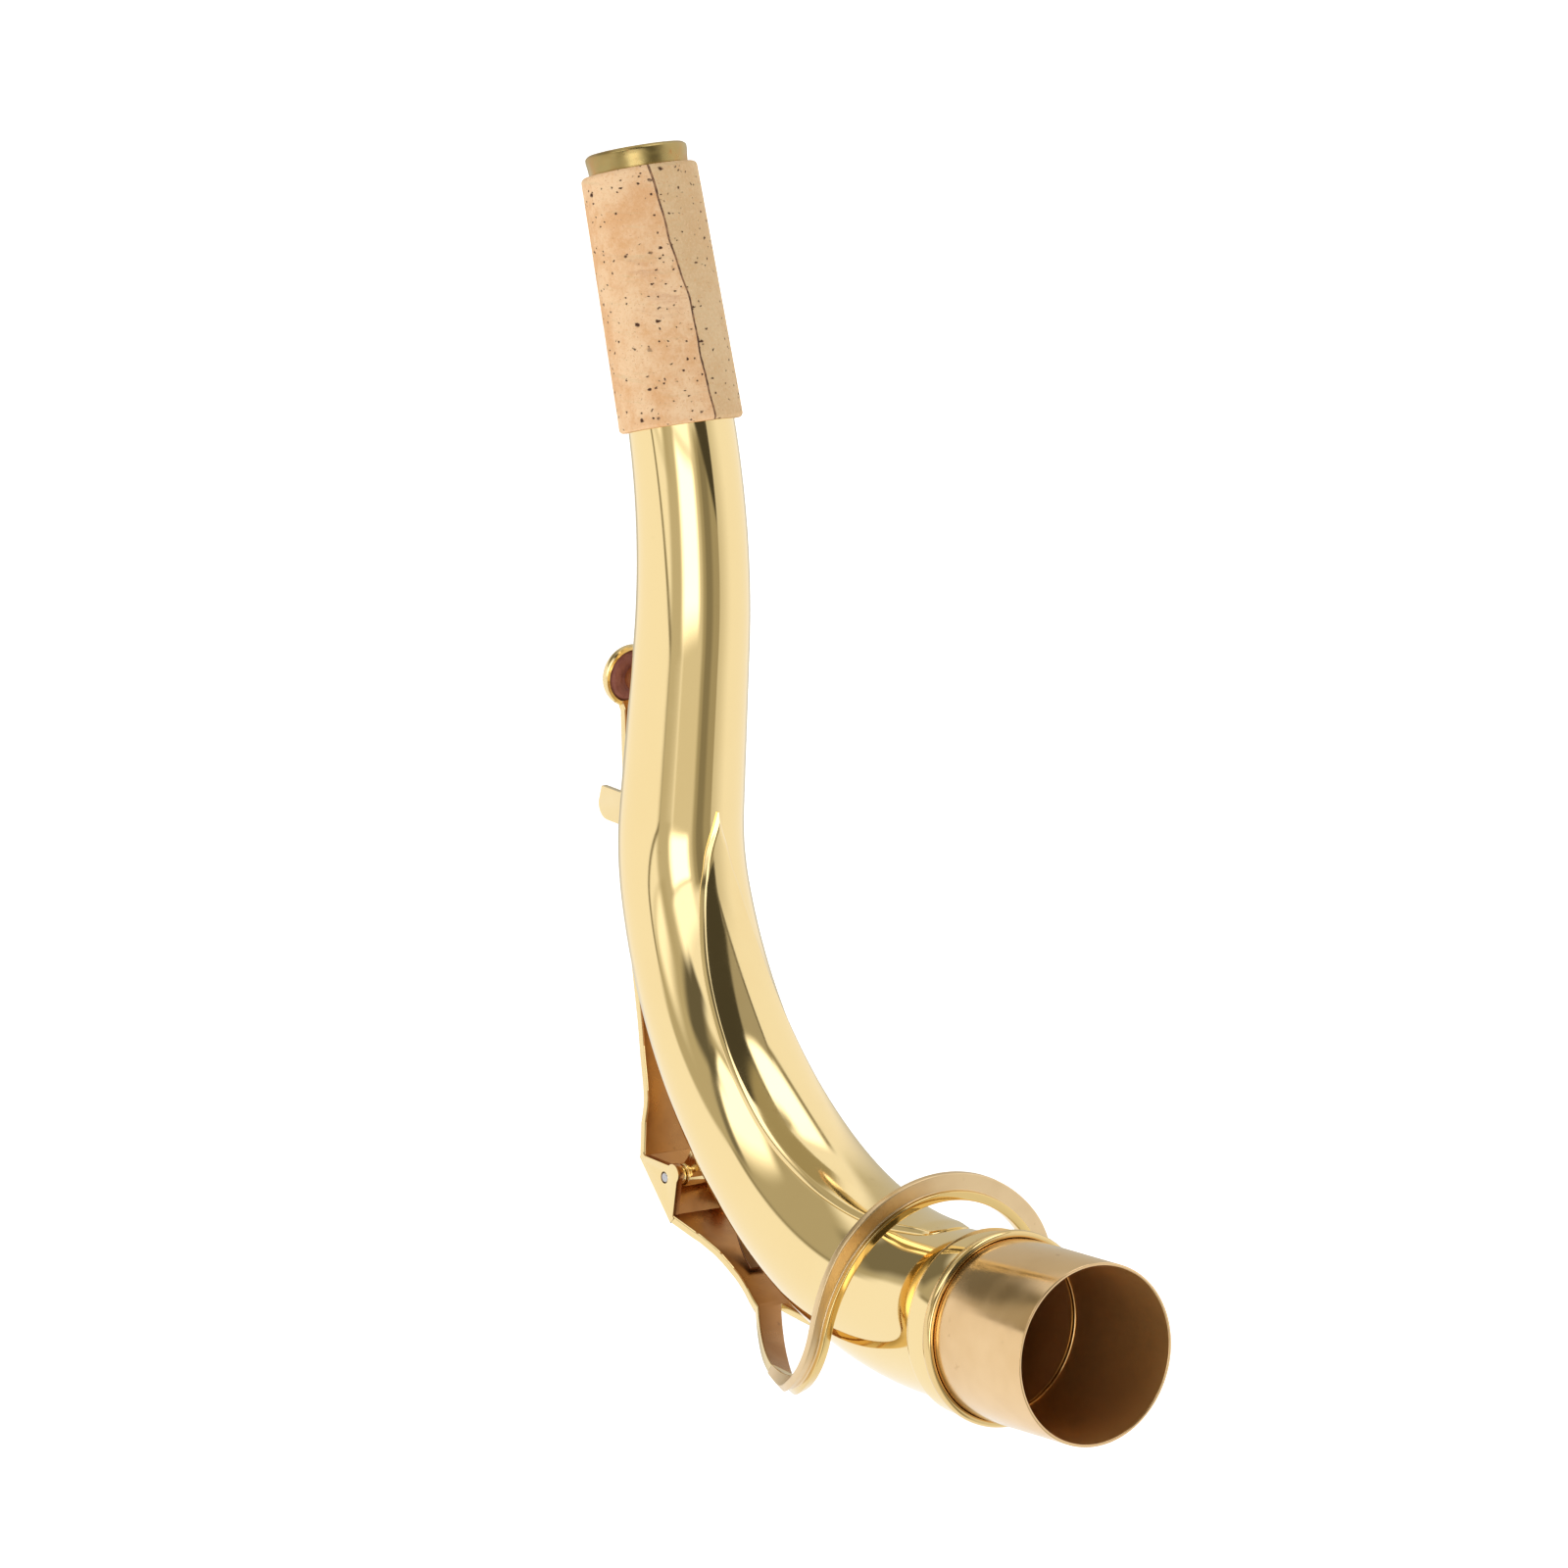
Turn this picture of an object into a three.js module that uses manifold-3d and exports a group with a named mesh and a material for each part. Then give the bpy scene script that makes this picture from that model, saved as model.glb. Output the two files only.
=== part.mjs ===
// Tenor saxophone neck: a bent, tapered brass tube with its cork, tenon, brace plate and octave key.
// Millimetres, +Z up. The origin is the centre of the tenon's stop shoulder, on the tenon's axis.
// +X points out of the tenon, +Z to the mouthpiece end, and the neck's bend lies in the plane y = 0.
// A station is a length along the tube's centre line, counted from the stop shoulder.
import * as THREE from 'three';
import { mergeVertices } from 'three/addons/utils/BufferGeometryUtils.js';
import Module from 'manifold-3d';

const wasm = await Module();
wasm.setup();

const degrees = THREE.MathUtils.degToRad;

// Gaps between neighbouring pieces
const SOLDER_GAP = 0.15;
const BUTT_GAP = 0.1;
const RUNNING_GAP = 0.3;
const PIN_GAP = 0.1;

// Centre line, from the tenon to the mouthpiece end
const TENON_STRAIGHT_LENGTH = 16;
const MAIN_BEND_RADIUS = 69.2;
const MAIN_BEND_ANGLE = degrees(76.4);
const UPPER_BEND_RADIUS = 34.7;
const UPPER_BEND_ANGLE = degrees(20.6);
const UPPER_STRAIGHT_LENGTH = 25.4;
const REVERSE_BEND_RADIUS = 94.4;
const REVERSE_BEND_ANGLE = degrees(22.8);
const MOUTH_STRAIGHT_LENGTH = 38.3;

// Tapered tube
const TUBE_WALL = 0.55;
const TENON_END_RADIUS = 13.18;
const MID_TUBE_RADIUS = 10.2;
const CORK_START_RADIUS = 8;
const MOUTH_END_RADIUS = 6.9;

// Tenon: sleeve, stop bead and ferrule band
const TENON_RADIUS = 13.75;
const TENON_WALL = 0.45;
const TENON_LENGTH = 21.5;
const TENON_LAP = 2.6;
const BEAD_RADIUS = 14.8;
const BEAD_WIDTH = 1.9;
const BEAD_EDGE = 0.45;
const FERRULE_RADIUS = 14.2;
const FERRULE_WIDTH = 4.5;
const FERRULE_EDGE = 0.3;

// Mouthpiece end: ring and cork
const END_RING_RADIUS = 7.7;
const END_RING_BORE_RADIUS = 6.3;
const END_RING_HEIGHT = 3.25;
const END_RING_LIP = 1.1;
const END_RING_ROUND = 0.6;
const CORK_LENGTH = 38.8;
const CORK_TOP_RADIUS = 8.8;
const CORK_BOTTOM_RADIUS = 9.36;
const CORK_CHAMFER = 0.35;

// Leaf-shaped brace plate on the inner side of the main bend
const BRACE_START = 14;
const BRACE_END = 123;
const BRACE_HALF_WIDTH = 7.7;
const BRACE_THICKNESS = 0.7;
const BRACE_STATION_SHARES = [
  0, 0.01, 0.03, 0.06, 0.143, 0.27, 0.377, 0.45, 0.52,
  0.592, 0.68, 0.747, 0.819, 0.862, 0.895, 0.93, 0.97, 1,
];
const BRACE_WIDTH_SHARES = [
  0.22, 0.46, 0.55, 0.61, 0.78, 0.91, 0.985, 1, 0.97,
  0.925, 0.83, 0.735, 0.57, 0.457, 0.354, 0.27, 0.13, 0.02,
];

// Octave pip and pad
const PIP_STATION = 137.65;
const PIP_HEIGHT = 5.4;
const PIP_RADIUS = 2.4;
const PIP_RIM_RADIUS = 1.9;
const PIP_BORE_RADIUS = 1.2;
const PIP_DEPTH = 1.5;
const PIP_FOOT_RADIUS = 4.2;
const PIP_FOOT_THICKNESS = 0.8;
const CUP_RADIUS = 4.8;
const CUP_DEPTH = 1.9;
const CUP_WALL = 0.55;
const CUP_ROUND = 1.3;
const PAD_THICKNESS = 1.2;
const PAD_RECESS = 0.2;

// Key guide
const GUIDE_STATION = 118.8;
const GUIDE_LENGTH = 5;
const GUIDE_HEIGHT = 7.7;
const GUIDE_CHEEK = 1;
const GUIDE_SIDE_GAP = 0.75;
const GUIDE_FOOT_THICKNESS = 0.9;
const GUIDE_ROUND = 2.4;
const GUIDE_SLOPE_HEIGHT = 0.7;

// Hinge: saddle, yoke, collars and rod
const HINGE_STATION = 73.9;
const PIVOT_HEIGHT = 8.8;
const BARREL_RADIUS = 1.75;
const BARREL_HALF_LENGTH = 2.2;
const COLLAR_RADIUS = 1.35;
const COLLAR_LENGTH = 2;
const ROD_RADIUS = 0.8;
const ROD_HEAD_RADIUS = 1.35;
const ROD_HEAD_HEIGHT = 0.6;
const ROD_SLOT_WIDTH = 0.4;
const ROD_SLOT_DEPTH = 0.3;
const EAR_THICKNESS = 1.1;
const EAR_REACH = 3.8;
const EAR_TIP_RADIUS = 1.5;
const EAR_TIP_OFFSET = 0.8;
const YOKE_HALF_LENGTH = 6;
const YOKE_RISE = 3.5;
const YOKE_PLATE = 1.3;
const SADDLE_HALF_LENGTH = 5.2;
const SADDLE_HALF_WIDTH = 4.6;
const SADDLE_FOOT_THICKNESS = 1;
const POST_FOOT_HALF_LENGTH = 2.8;
const POST_NECK_HALF_LENGTH = 1.3;

// Flat spring and its screw
const SPRING_THICKNESS = 0.4;
const SPRING_HALF_WIDTH = 1.4;
const SPRING_FLAT = 4.4;
const SPRING_FLAT_SHARES = [0, 0.5, 1];
const SPRING_REACH = 8.6;
const SCREW_HEAD_RADIUS = 1.6;
const SCREW_HEAD_HEIGHT = 0.9;
const SCREW_SLOT_WIDTH = 0.4;
const SCREW_SLOT_DEPTH = 0.4;

// Octave key arms
const ARM_THICKNESS = 1.4;
const ARM_PAD_HALF_WIDTH = 1.7;
const UPPER_ARM_STATION_SHARES = [0.034, 0.082, 0.177, 0.256, 0.351, 0.429, 0.61, 0.807, 0.885, 1];
const UPPER_ARM_LIFT_SHARES = [0.883, 0.778, 0.598, 0.487, 0.409, 0.386, 0.358, 0.363, 0.42, 0.504];
const UPPER_ARM_WIDTH_SHARES = [0.7, 0.43, 0.35, 0.27, 0.19, 0.11, 0.04, 0, 0, 0];
const LOWER_ARM_WAIST_HALF_WIDTH = 3.5;
const LOWER_ARM_FORK_HALF_WIDTH = 4.4;
const FORK_STATION = 51.7;
const LOWER_ARM_STATION_SHARES = [0.12, 0.25, 0.377, 0.6, 0.75, 0.889, 1];
const LOWER_ARM_LIFT_SHARES = [0.837, 0.756, 0.695, 0.654, 0.642, 0.634, 0.63];
const LOWER_ARM_WIDTH_SHARES = [0.38, 0.22, 0.12, 0, 0.17, 0.7, 1];
const LOWER_ARM_WAIST_SHARE = 0.5;

// Octave ring, an angle-section loop around the tube, and the prongs that carry it
const RING_STATION = 19.5;
const RING_DROP = 4.95;
const RING_TILT = degrees(4.8);
const RING_INNER_HALF_HEIGHT = 21.8;
const RING_INNER_HALF_WIDTH = 19.5;
const RING_BAND_WIDTH = 2.1;
const RING_FLANGE_HEIGHT = 2.45;
const RING_FLANGE_THICKNESS = 1.2;
const RING_FOOT_ANGLE = degrees(81.4);
const PRONG_WIDTH = 3.8;
const PRONG_START_Y = 2.3;
const PRONG_START_REACH = 26.3;
const PRONG_END_REACH = 9.7;
const PRONG_SPREAD = degrees(30);
const PRONG_DIVE = degrees(1.4);
const PRONG_SPLIT_SHARE = 0.3;
const BAND_TAPER_START_SHARE = 0.2;
const BAND_TAPER_END_SHARE = 0.7;
const BEND_FLANGE_END_SHARE = 0.62;
const LOOP_FLANGE_START_SHARE = 0.57;
const FLANGE_FOOT_SHARE = 0.6;

// Fineness of the curved surfaces
const TUBE_SIDES = 32;
const RING_SIDES = 56;
const SMALL_SIDES = 24;
const BEND_STEP = degrees(4.2);
const TABLE_STEPS = 2;
const STRAIGHT_STEPS = 2;
const PLATE_STEPS = 8;
const PRONG_STEPS = 6;
const RING_BEND_STEPS = 13;
const RING_LOOP_STEPS = 36;
const SPRING_STEPS = 4;
const ROUND_STEP = degrees(22.5);

// Materials
const lacqueredBrass = { color: 0xd8b45c, roughness: 0.12, metalness: 1 };
const satinBrass = { color: 0xcda865, roughness: 0.35, metalness: 1 };
const tarnishedBrass = { color: 0x9a8340, roughness: 0.4, metalness: 1 };
const corkSheet = { color: 0xe2b88c, roughness: 0.9, metalness: 0 };
const padLeather = { color: 0x96503f, roughness: 0.7, metalness: 0 };
const blueSteel = { color: 0x4a5260, roughness: 0.3, metalness: 1 };
const whiteSteel = { color: 0xc8c8cc, roughness: 0.2, metalness: 1 };

// The centre line as straights and arcs, each with its length and its turn
const LINE_RUNS = [
  { length: TENON_STRAIGHT_LENGTH, turn: 0 },
  { length: MAIN_BEND_RADIUS * MAIN_BEND_ANGLE, turn: MAIN_BEND_ANGLE },
  { length: UPPER_BEND_RADIUS * UPPER_BEND_ANGLE, turn: UPPER_BEND_ANGLE },
  { length: UPPER_STRAIGHT_LENGTH, turn: 0 },
  { length: REVERSE_BEND_RADIUS * REVERSE_BEND_ANGLE, turn: -REVERSE_BEND_ANGLE },
  { length: MOUTH_STRAIGHT_LENGTH, turn: 0 },
];
const MOUTH_STATION = LINE_RUNS.reduce((sum, run) => sum + run.length, 0);

// The centre line's frame at a station: its point, the way to the mouthpiece, the bend's inner side
function frameAt(station) {
  let x = 0;
  let z = 0;
  let angle = 0;
  let left = station;
  for (const run of LINE_RUNS) {
    const last = run === LINE_RUNS[LINE_RUNS.length - 1];
    const length = last ? left : Math.min(left, run.length);
    const turn = run.turn * length / run.length;
    const chord = turn === 0 ? length : 2 * (length / turn) * Math.sin(turn / 2);
    x -= chord * Math.cos(angle + turn / 2);
    z += chord * Math.sin(angle + turn / 2);
    angle += turn;
    left -= length;
    if (left <= 0) break;
  }
  return {
    point: new THREE.Vector3(x, 0, z),
    along: new THREE.Vector3(-Math.cos(angle), 0, Math.sin(angle)),
    inner: new THREE.Vector3(Math.sin(angle), 0, Math.cos(angle)),
    outer: new THREE.Vector3(-Math.sin(angle), 0, -Math.cos(angle)),
  };
}

const CORK_TOP_STATION = MOUTH_STATION - END_RING_HEIGHT;
const CORK_START_STATION = CORK_TOP_STATION - CORK_LENGTH;
const TUBE_START_STATION = TENON_LAP;
const TUBE_END_STATION = MOUTH_STATION - END_RING_LIP - BUTT_GAP;
const MID_STATION = (TUBE_START_STATION + CORK_START_STATION) / 2;

// Outer radius of the tube: a smooth taper up to the cork, then a cone
function tubeRadius(station) {
  if (station >= CORK_START_STATION) {
    const share = (station - CORK_START_STATION) / (TUBE_END_STATION - CORK_START_STATION);
    return CORK_START_RADIUS + (MOUTH_END_RADIUS - CORK_START_RADIUS) * share;
  }
  const share = (station - TUBE_START_STATION) / (CORK_START_STATION - TUBE_START_STATION);
  const start = TENON_END_RADIUS * (1 - share) * (1 - 2 * share);
  const middle = 4 * MID_TUBE_RADIUS * share * (1 - share);
  const end = CORK_START_RADIUS * share * (2 * share - 1);
  return start + middle + end;
}

// A point beside the centre line, at a distance and an angle from the bend's inner side
function pointBeside(station, distance, angle) {
  const frame = frameAt(station);
  const inward = distance * Math.cos(angle);
  const sideways = distance * Math.sin(angle);
  return frame.point.addScaledVector(frame.inner, inward).setY(sideways);
}

// A point over the tube's outer side in the plane y
function pointOver(station, lift, y) {
  const frame = frameAt(station);
  return frame.point.addScaledVector(frame.outer, tubeRadius(station) + lift).setY(y);
}

// Stations between two ends: every run's border, and steps of the bend
function stationsBetween(from, to) {
  const stations = [from];
  let start = 0;
  for (const run of LINE_RUNS) {
    const steps = Math.max(STRAIGHT_STEPS, Math.ceil(Math.abs(run.turn) / BEND_STEP));
    for (let i = 1; i <= steps; i++) {
      const station = start + run.length * i / steps;
      if (station > from + BUTT_GAP && station < to - BUTT_GAP) stations.push(station);
    }
    start += run.length;
  }
  stations.push(to);
  return stations;
}

// A closed body from a list of sections that all have the same number of corners
function bodyFromSections(sections, capTriangles, loop = false) {
  const corners = sections[0].length;
  const positions = sections.flat().flatMap((p) => [p.x, p.y, p.z]);
  const index = [];
  const spans = loop ? sections.length : sections.length - 1;
  for (let i = 0; i < spans; i++) {
    const next = (i + 1) % sections.length;
    for (let j = 0; j < corners; j++) {
      const k = (j + 1) % corners;
      const a = i * corners + j;
      const b = i * corners + k;
      const c = next * corners + j;
      const d = next * corners + k;
      index.push(a, b, d, a, d, c);
    }
  }
  if (!loop) {
    const last = (sections.length - 1) * corners;
    for (const [a, b, c] of capTriangles) {
      index.push(a, c, b);
      index.push(last + a, last + b, last + c);
    }
  }
  const geometry = new THREE.BufferGeometry();
  geometry.setAttribute('position', new THREE.Float32BufferAttribute(positions, 3));
  geometry.setIndex(index);
  return facingOut(geometry);
}

// Turns the faces over where the body is inside out
function facingOut(geometry) {
  const p = geometry.getAttribute('position');
  const index = geometry.getIndex().array;
  const a = new THREE.Vector3();
  const b = new THREE.Vector3();
  const c = new THREE.Vector3();
  let volume = 0;
  for (let i = 0; i < index.length; i += 3) {
    a.fromBufferAttribute(p, index[i]);
    b.fromBufferAttribute(p, index[i + 1]);
    c.fromBufferAttribute(p, index[i + 2]);
    volume += a.dot(b.cross(c));
  }
  if (volume < 0) {
    for (let i = 0; i < index.length; i += 3) {
      [index[i + 1], index[i + 2]] = [index[i + 2], index[i + 1]];
    }
  }
  return geometry;
}

// A pipe along the centre line with its own outer and inner radius at each station
function pipeAlongNeck(stations, outerRadius, innerRadius, sides) {
  const positions = [];
  const index = [];
  const count = stations.length;
  for (const radius of [outerRadius, innerRadius]) {
    for (const station of stations) {
      for (let j = 0; j < sides; j++) {
        const p = pointBeside(station, radius(station), 2 * Math.PI * j / sides);
        positions.push(p.x, p.y, p.z);
      }
    }
  }
  const at = (layer, i, j) => (layer * count + i) * sides + j % sides;
  const quad = (a, b, c, d) => index.push(a, b, c, a, c, d);
  for (let j = 0; j < sides; j++) {
    for (let i = 0; i < count - 1; i++) {
      quad(at(0, i, j), at(0, i, j + 1), at(0, i + 1, j + 1), at(0, i + 1, j));
      quad(at(1, i, j), at(1, i + 1, j), at(1, i + 1, j + 1), at(1, i, j + 1));
    }
    quad(at(0, 0, j), at(1, 0, j), at(1, 0, j + 1), at(0, 0, j + 1));
    quad(at(0, count - 1, j), at(0, count - 1, j + 1), at(1, count - 1, j + 1), at(1, count - 1, j));
  }
  const geometry = new THREE.BufferGeometry();
  geometry.setAttribute('position', new THREE.Float32BufferAttribute(positions, 3));
  geometry.setIndex(index);
  return facingOut(geometry);
}

// A plate bent onto the tube. Its half width may change from station to station.
function plateOnTube(stations, halfWidth, thickness, middleAngle) {
  const sections = stations.map((station) => {
    const radius = tubeRadius(station);
    const reach = halfWidth(station) / radius;
    const section = [];
    for (let i = 0; i <= PLATE_STEPS; i++) {
      const angle = middleAngle - reach + 2 * reach * i / PLATE_STEPS;
      section.push(pointBeside(station, radius + SOLDER_GAP, angle));
    }
    for (let i = PLATE_STEPS; i >= 0; i--) {
      const angle = middleAngle - reach + 2 * reach * i / PLATE_STEPS;
      section.push(pointBeside(station, radius + SOLDER_GAP + thickness, angle));
    }
    return section;
  });
  const caps = [];
  for (let i = 0; i < PLATE_STEPS; i++) {
    const far = 2 * PLATE_STEPS + 1 - i;
    caps.push([i, i + 1, far - 1], [i, far - 1, far]);
  }
  return bodyFromSections(sections, caps);
}

const OUTER_SIDE = Math.PI;
const INNER_SIDE = 0;

// The value of a table of shares at a place between its entries
function tableValue(places, values, place) {
  const last = places.length - 1;
  for (let i = 0; i < last; i++) {
    if (place <= places[i + 1]) {
      const share = (place - places[i]) / (places[i + 1] - places[i]);
      return values[i] + (values[i + 1] - values[i]) * share;
    }
  }
  return values[last];
}

function manifoldFrom(geometry) {
  const bare = geometry.clone();
  bare.deleteAttribute('normal');
  bare.deleteAttribute('uv');
  const merged = mergeVertices(bare);
  const vertProperties = new Float32Array(merged.getAttribute('position').array);
  const triVerts = new Uint32Array(merged.getIndex().array);
  return new wasm.Manifold(new wasm.Mesh({ numProp: 3, vertProperties, triVerts }));
}

function geometryFrom(manifold) {
  const mesh = manifold.getMesh();
  const geometry = new THREE.BufferGeometry();
  geometry.setAttribute('position', new THREE.Float32BufferAttribute(mesh.vertProperties, 3));
  geometry.setIndex(Array.from(mesh.triVerts));
  return geometry;
}

function joined(...geometries) {
  return geometryFrom(geometries.map(manifoldFrom).reduce((sum, body) => sum.add(body)));
}

function cut(geometry, ...tools) {
  const start = manifoldFrom(geometry);
  return geometryFrom(tools.map(manifoldFrom).reduce((rest, tool) => rest.subtract(tool), start));
}

// Moves a geometry built about the +Y axis so that the axis starts at a point and runs a given way
function aimed(geometry, point, way) {
  const turn = new THREE.Quaternion().setFromUnitVectors(new THREE.Vector3(0, 1, 0), way);
  return geometry.applyQuaternion(turn).translate(point.x, point.y, point.z);
}

// A solid of revolution from [radius, height] corners, closed on itself
function turned(corners, sides, point, way) {
  const points = [...corners, corners[0]].map(([radius, height]) => new THREE.Vector2(radius, height));
  return aimed(new THREE.LatheGeometry(points, sides), point, way);
}

function cylinder(radius, from, to, sides, point, way) {
  const geometry = new THREE.CylinderGeometry(radius, radius, to - from, sides);
  return aimed(geometry.translate(0, (from + to) / 2, 0), point, way);
}

// Corners of a round from one direction to another, both in radians
function roundCorners(centreRadius, centreHeight, round, fromAngle, toAngle) {
  const steps = Math.round(Math.abs(toAngle - fromAngle) / ROUND_STEP);
  const corners = [];
  for (let i = 0; i <= steps; i++) {
    const angle = fromAngle + (toAngle - fromAngle) * i / steps;
    corners.push([centreRadius + round * Math.cos(angle), centreHeight + round * Math.sin(angle)]);
  }
  return corners;
}

// The hinge's frame: u runs along the tube to the tenon, v away from the tube
const hinge = frameAt(HINGE_STATION);
const HINGE_TUBE_RADIUS = tubeRadius(HINGE_STATION);
const pivot = hinge.point.clone().addScaledVector(hinge.outer, HINGE_TUBE_RADIUS + PIVOT_HEIGHT);
const SIDE = new THREE.Vector3(0, 1, 0);

function atHinge(u, v, y) {
  return pivot.clone().addScaledVector(hinge.along, -u).addScaledVector(hinge.outer, v).setY(y);
}

// Extrudes an outline given in a station's own plane, [u to the tenon, v away from the tube], across y
function plateInPlane(outline, frame, origin, fromY, toY) {
  const shape = new THREE.Shape(outline.map(([u, v]) => new THREE.Vector2(u, v)));
  const geometry = new THREE.ExtrudeGeometry(shape, { depth: toY - fromY, bevelEnabled: false });
  const basis = new THREE.Matrix4();
  basis.makeBasis(frame.along.clone().negate(), frame.outer, new THREE.Vector3(0, 1, 0));
  basis.setPosition(origin.x, fromY, origin.z);
  return facingOut(mergedOf(geometry).applyMatrix4(basis));
}

function mergedOf(geometry) {
  geometry.deleteAttribute('normal');
  geometry.deleteAttribute('uv');
  return mergeVertices(geometry);
}

const TENON_AXIS = new THREE.Vector3(1, 0, 0);
const SHOULDER = new THREE.Vector3(0, 0, 0);

// Neck tube with its vent hole
function neckTube() {
  const stations = stationsBetween(TUBE_START_STATION, TUBE_END_STATION);
  const bore = (station) => tubeRadius(station) - TUBE_WALL;
  const pipe = pipeAlongNeck(stations, tubeRadius, bore, TUBE_SIDES);
  const frame = frameAt(PIP_STATION);
  const radius = tubeRadius(PIP_STATION);
  const bottom = radius - TUBE_WALL - PIP_DEPTH;
  const top = radius + PIP_HEIGHT;
  const drill = cylinder(PIP_RADIUS + SOLDER_GAP, bottom, top, SMALL_SIDES, frame.point, frame.outer);
  return cut(pipe, drill);
}

// Tenon sleeve, open at both ends
function tenonSleeve() {
  const inner = TENON_RADIUS - TENON_WALL;
  const start = BUTT_GAP - TENON_LAP;
  const corners = [
    [inner, start],
    [TENON_RADIUS, start],
    [TENON_RADIUS, TENON_LENGTH],
    [inner, TENON_LENGTH],
  ];
  return turned(corners, RING_SIDES, SHOULDER, TENON_AXIS);
}

// Stop bead with softened edges and a flat shoulder
function tenonStopBead() {
  const inner = TENON_RADIUS + SOLDER_GAP;
  const corners = [
    [inner, -BEAD_WIDTH],
    [BEAD_RADIUS - BEAD_EDGE, -BEAD_WIDTH],
    [BEAD_RADIUS, BEAD_EDGE - BEAD_WIDTH],
    [BEAD_RADIUS, -BEAD_EDGE],
    [BEAD_RADIUS - BEAD_EDGE, 0],
    [inner, 0],
  ];
  return turned(corners, RING_SIDES, SHOULDER, TENON_AXIS);
}

// Ferrule band, bored in two steps for the tube and the sleeve
function tenonFerrule() {
  const front = -BEAD_WIDTH - BUTT_GAP;
  const back = front - FERRULE_WIDTH;
  const tubeBore = TENON_END_RADIUS + SOLDER_GAP;
  const sleeveBore = TENON_RADIUS + SOLDER_GAP;
  const step = -TENON_LAP;
  const corners = [
    [tubeBore, back],
    [FERRULE_RADIUS - FERRULE_EDGE, back],
    [FERRULE_RADIUS, back + FERRULE_EDGE],
    [FERRULE_RADIUS, front],
    [sleeveBore, front],
    [sleeveBore, step],
    [tubeBore, step],
  ];
  return turned(corners, RING_SIDES, SHOULDER, TENON_AXIS);
}

// Rolled ring on the mouthpiece end, with a flat rim
function mouthpieceEndRing() {
  const frame = frameAt(MOUTH_STATION);
  const tubeBore = tubeRadius(CORK_TOP_STATION) + SOLDER_GAP;
  const centre = END_RING_RADIUS - END_RING_ROUND;
  const corners = [
    [tubeBore, BUTT_GAP - END_RING_HEIGHT],
    [END_RING_RADIUS, BUTT_GAP - END_RING_HEIGHT],
    ...roundCorners(centre, -END_RING_ROUND, END_RING_ROUND, 0, Math.PI / 2),
    [END_RING_BORE_RADIUS, 0],
    [END_RING_BORE_RADIUS, -END_RING_LIP],
    [tubeBore, -END_RING_LIP],
  ];
  return turned(corners, TUBE_SIDES, frame.point, frame.along);
}

// Cork sleeve, slightly conical, chamfered at both ends
function neckCork() {
  const bottom = CORK_START_STATION;
  const top = CORK_TOP_STATION;
  const radius = (station) => {
    const share = (station - bottom) / CORK_LENGTH;
    const cone = CORK_BOTTOM_RADIUS + (CORK_TOP_RADIUS - CORK_BOTTOM_RADIUS) * share;
    return station === bottom || station === top ? cone - CORK_CHAMFER : cone;
  };
  const between = stationsBetween(bottom + CORK_CHAMFER, top - CORK_CHAMFER);
  const stations = [bottom, ...between, top];
  return pipeAlongNeck(stations, radius, (station) => tubeRadius(station) + SOLDER_GAP, TUBE_SIDES);
}

// Leaf-shaped brace plate, pointed at both ends
function bracePlate() {
  const length = BRACE_END - BRACE_START;
  const places = BRACE_STATION_SHARES.slice(0, -1).flatMap((share, i) => {
    const span = BRACE_STATION_SHARES[i + 1] - share;
    return Array.from({ length: TABLE_STEPS }, (_, k) => share + span * k / TABLE_STEPS);
  });
  const stations = [...places, 1].map((share) => BRACE_START + length * share);
  const halfWidth = (station) => {
    const place = (station - BRACE_START) / length;
    return BRACE_HALF_WIDTH * tableValue(BRACE_STATION_SHARES, BRACE_WIDTH_SHARES, place);
  };
  return plateOnTube(stations, halfWidth, BRACE_THICKNESS, INNER_SIDE);
}

// Octave pip: vent tube on a round foot
function octavePip() {
  const frame = frameAt(PIP_STATION);
  const radius = tubeRadius(PIP_STATION);
  const bottom = radius - TUBE_WALL - PIP_DEPTH;
  const top = radius + PIP_HEIGHT;
  const rim = PIP_RADIUS - PIP_RIM_RADIUS;
  const corners = [
    [PIP_BORE_RADIUS, bottom],
    [PIP_RADIUS, bottom],
    [PIP_RADIUS, top - rim],
    [PIP_RIM_RADIUS, top],
    [PIP_BORE_RADIUS, top],
  ];
  const pipe = turned(corners, SMALL_SIDES, frame.point, frame.outer);
  const steps = SMALL_SIDES / 2;
  const stations = Array.from({ length: steps + 1 }, (_, i) =>
    PIP_STATION - PIP_FOOT_RADIUS * Math.cos(Math.PI * i / steps));
  const halfWidth = (station) => {
    const away = Math.abs(station - PIP_STATION);
    return Math.max(SOLDER_GAP, Math.sqrt(Math.max(0, PIP_FOOT_RADIUS ** 2 - away ** 2)));
  };
  const foot = plateOnTube(stations, halfWidth, PIP_FOOT_THICKNESS, OUTER_SIDE);
  const drill = cylinder(PIP_BORE_RADIUS, bottom, top, SMALL_SIDES, frame.point, frame.outer);
  return joined(pipe, cut(foot, drill));
}

// Height of the pad's face over the tube, and of the cup's rim
const PAD_FACE_LIFT = PIP_HEIGHT + RUNNING_GAP;
const CUP_RIM_LIFT = PAD_FACE_LIFT + PAD_RECESS;

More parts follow.
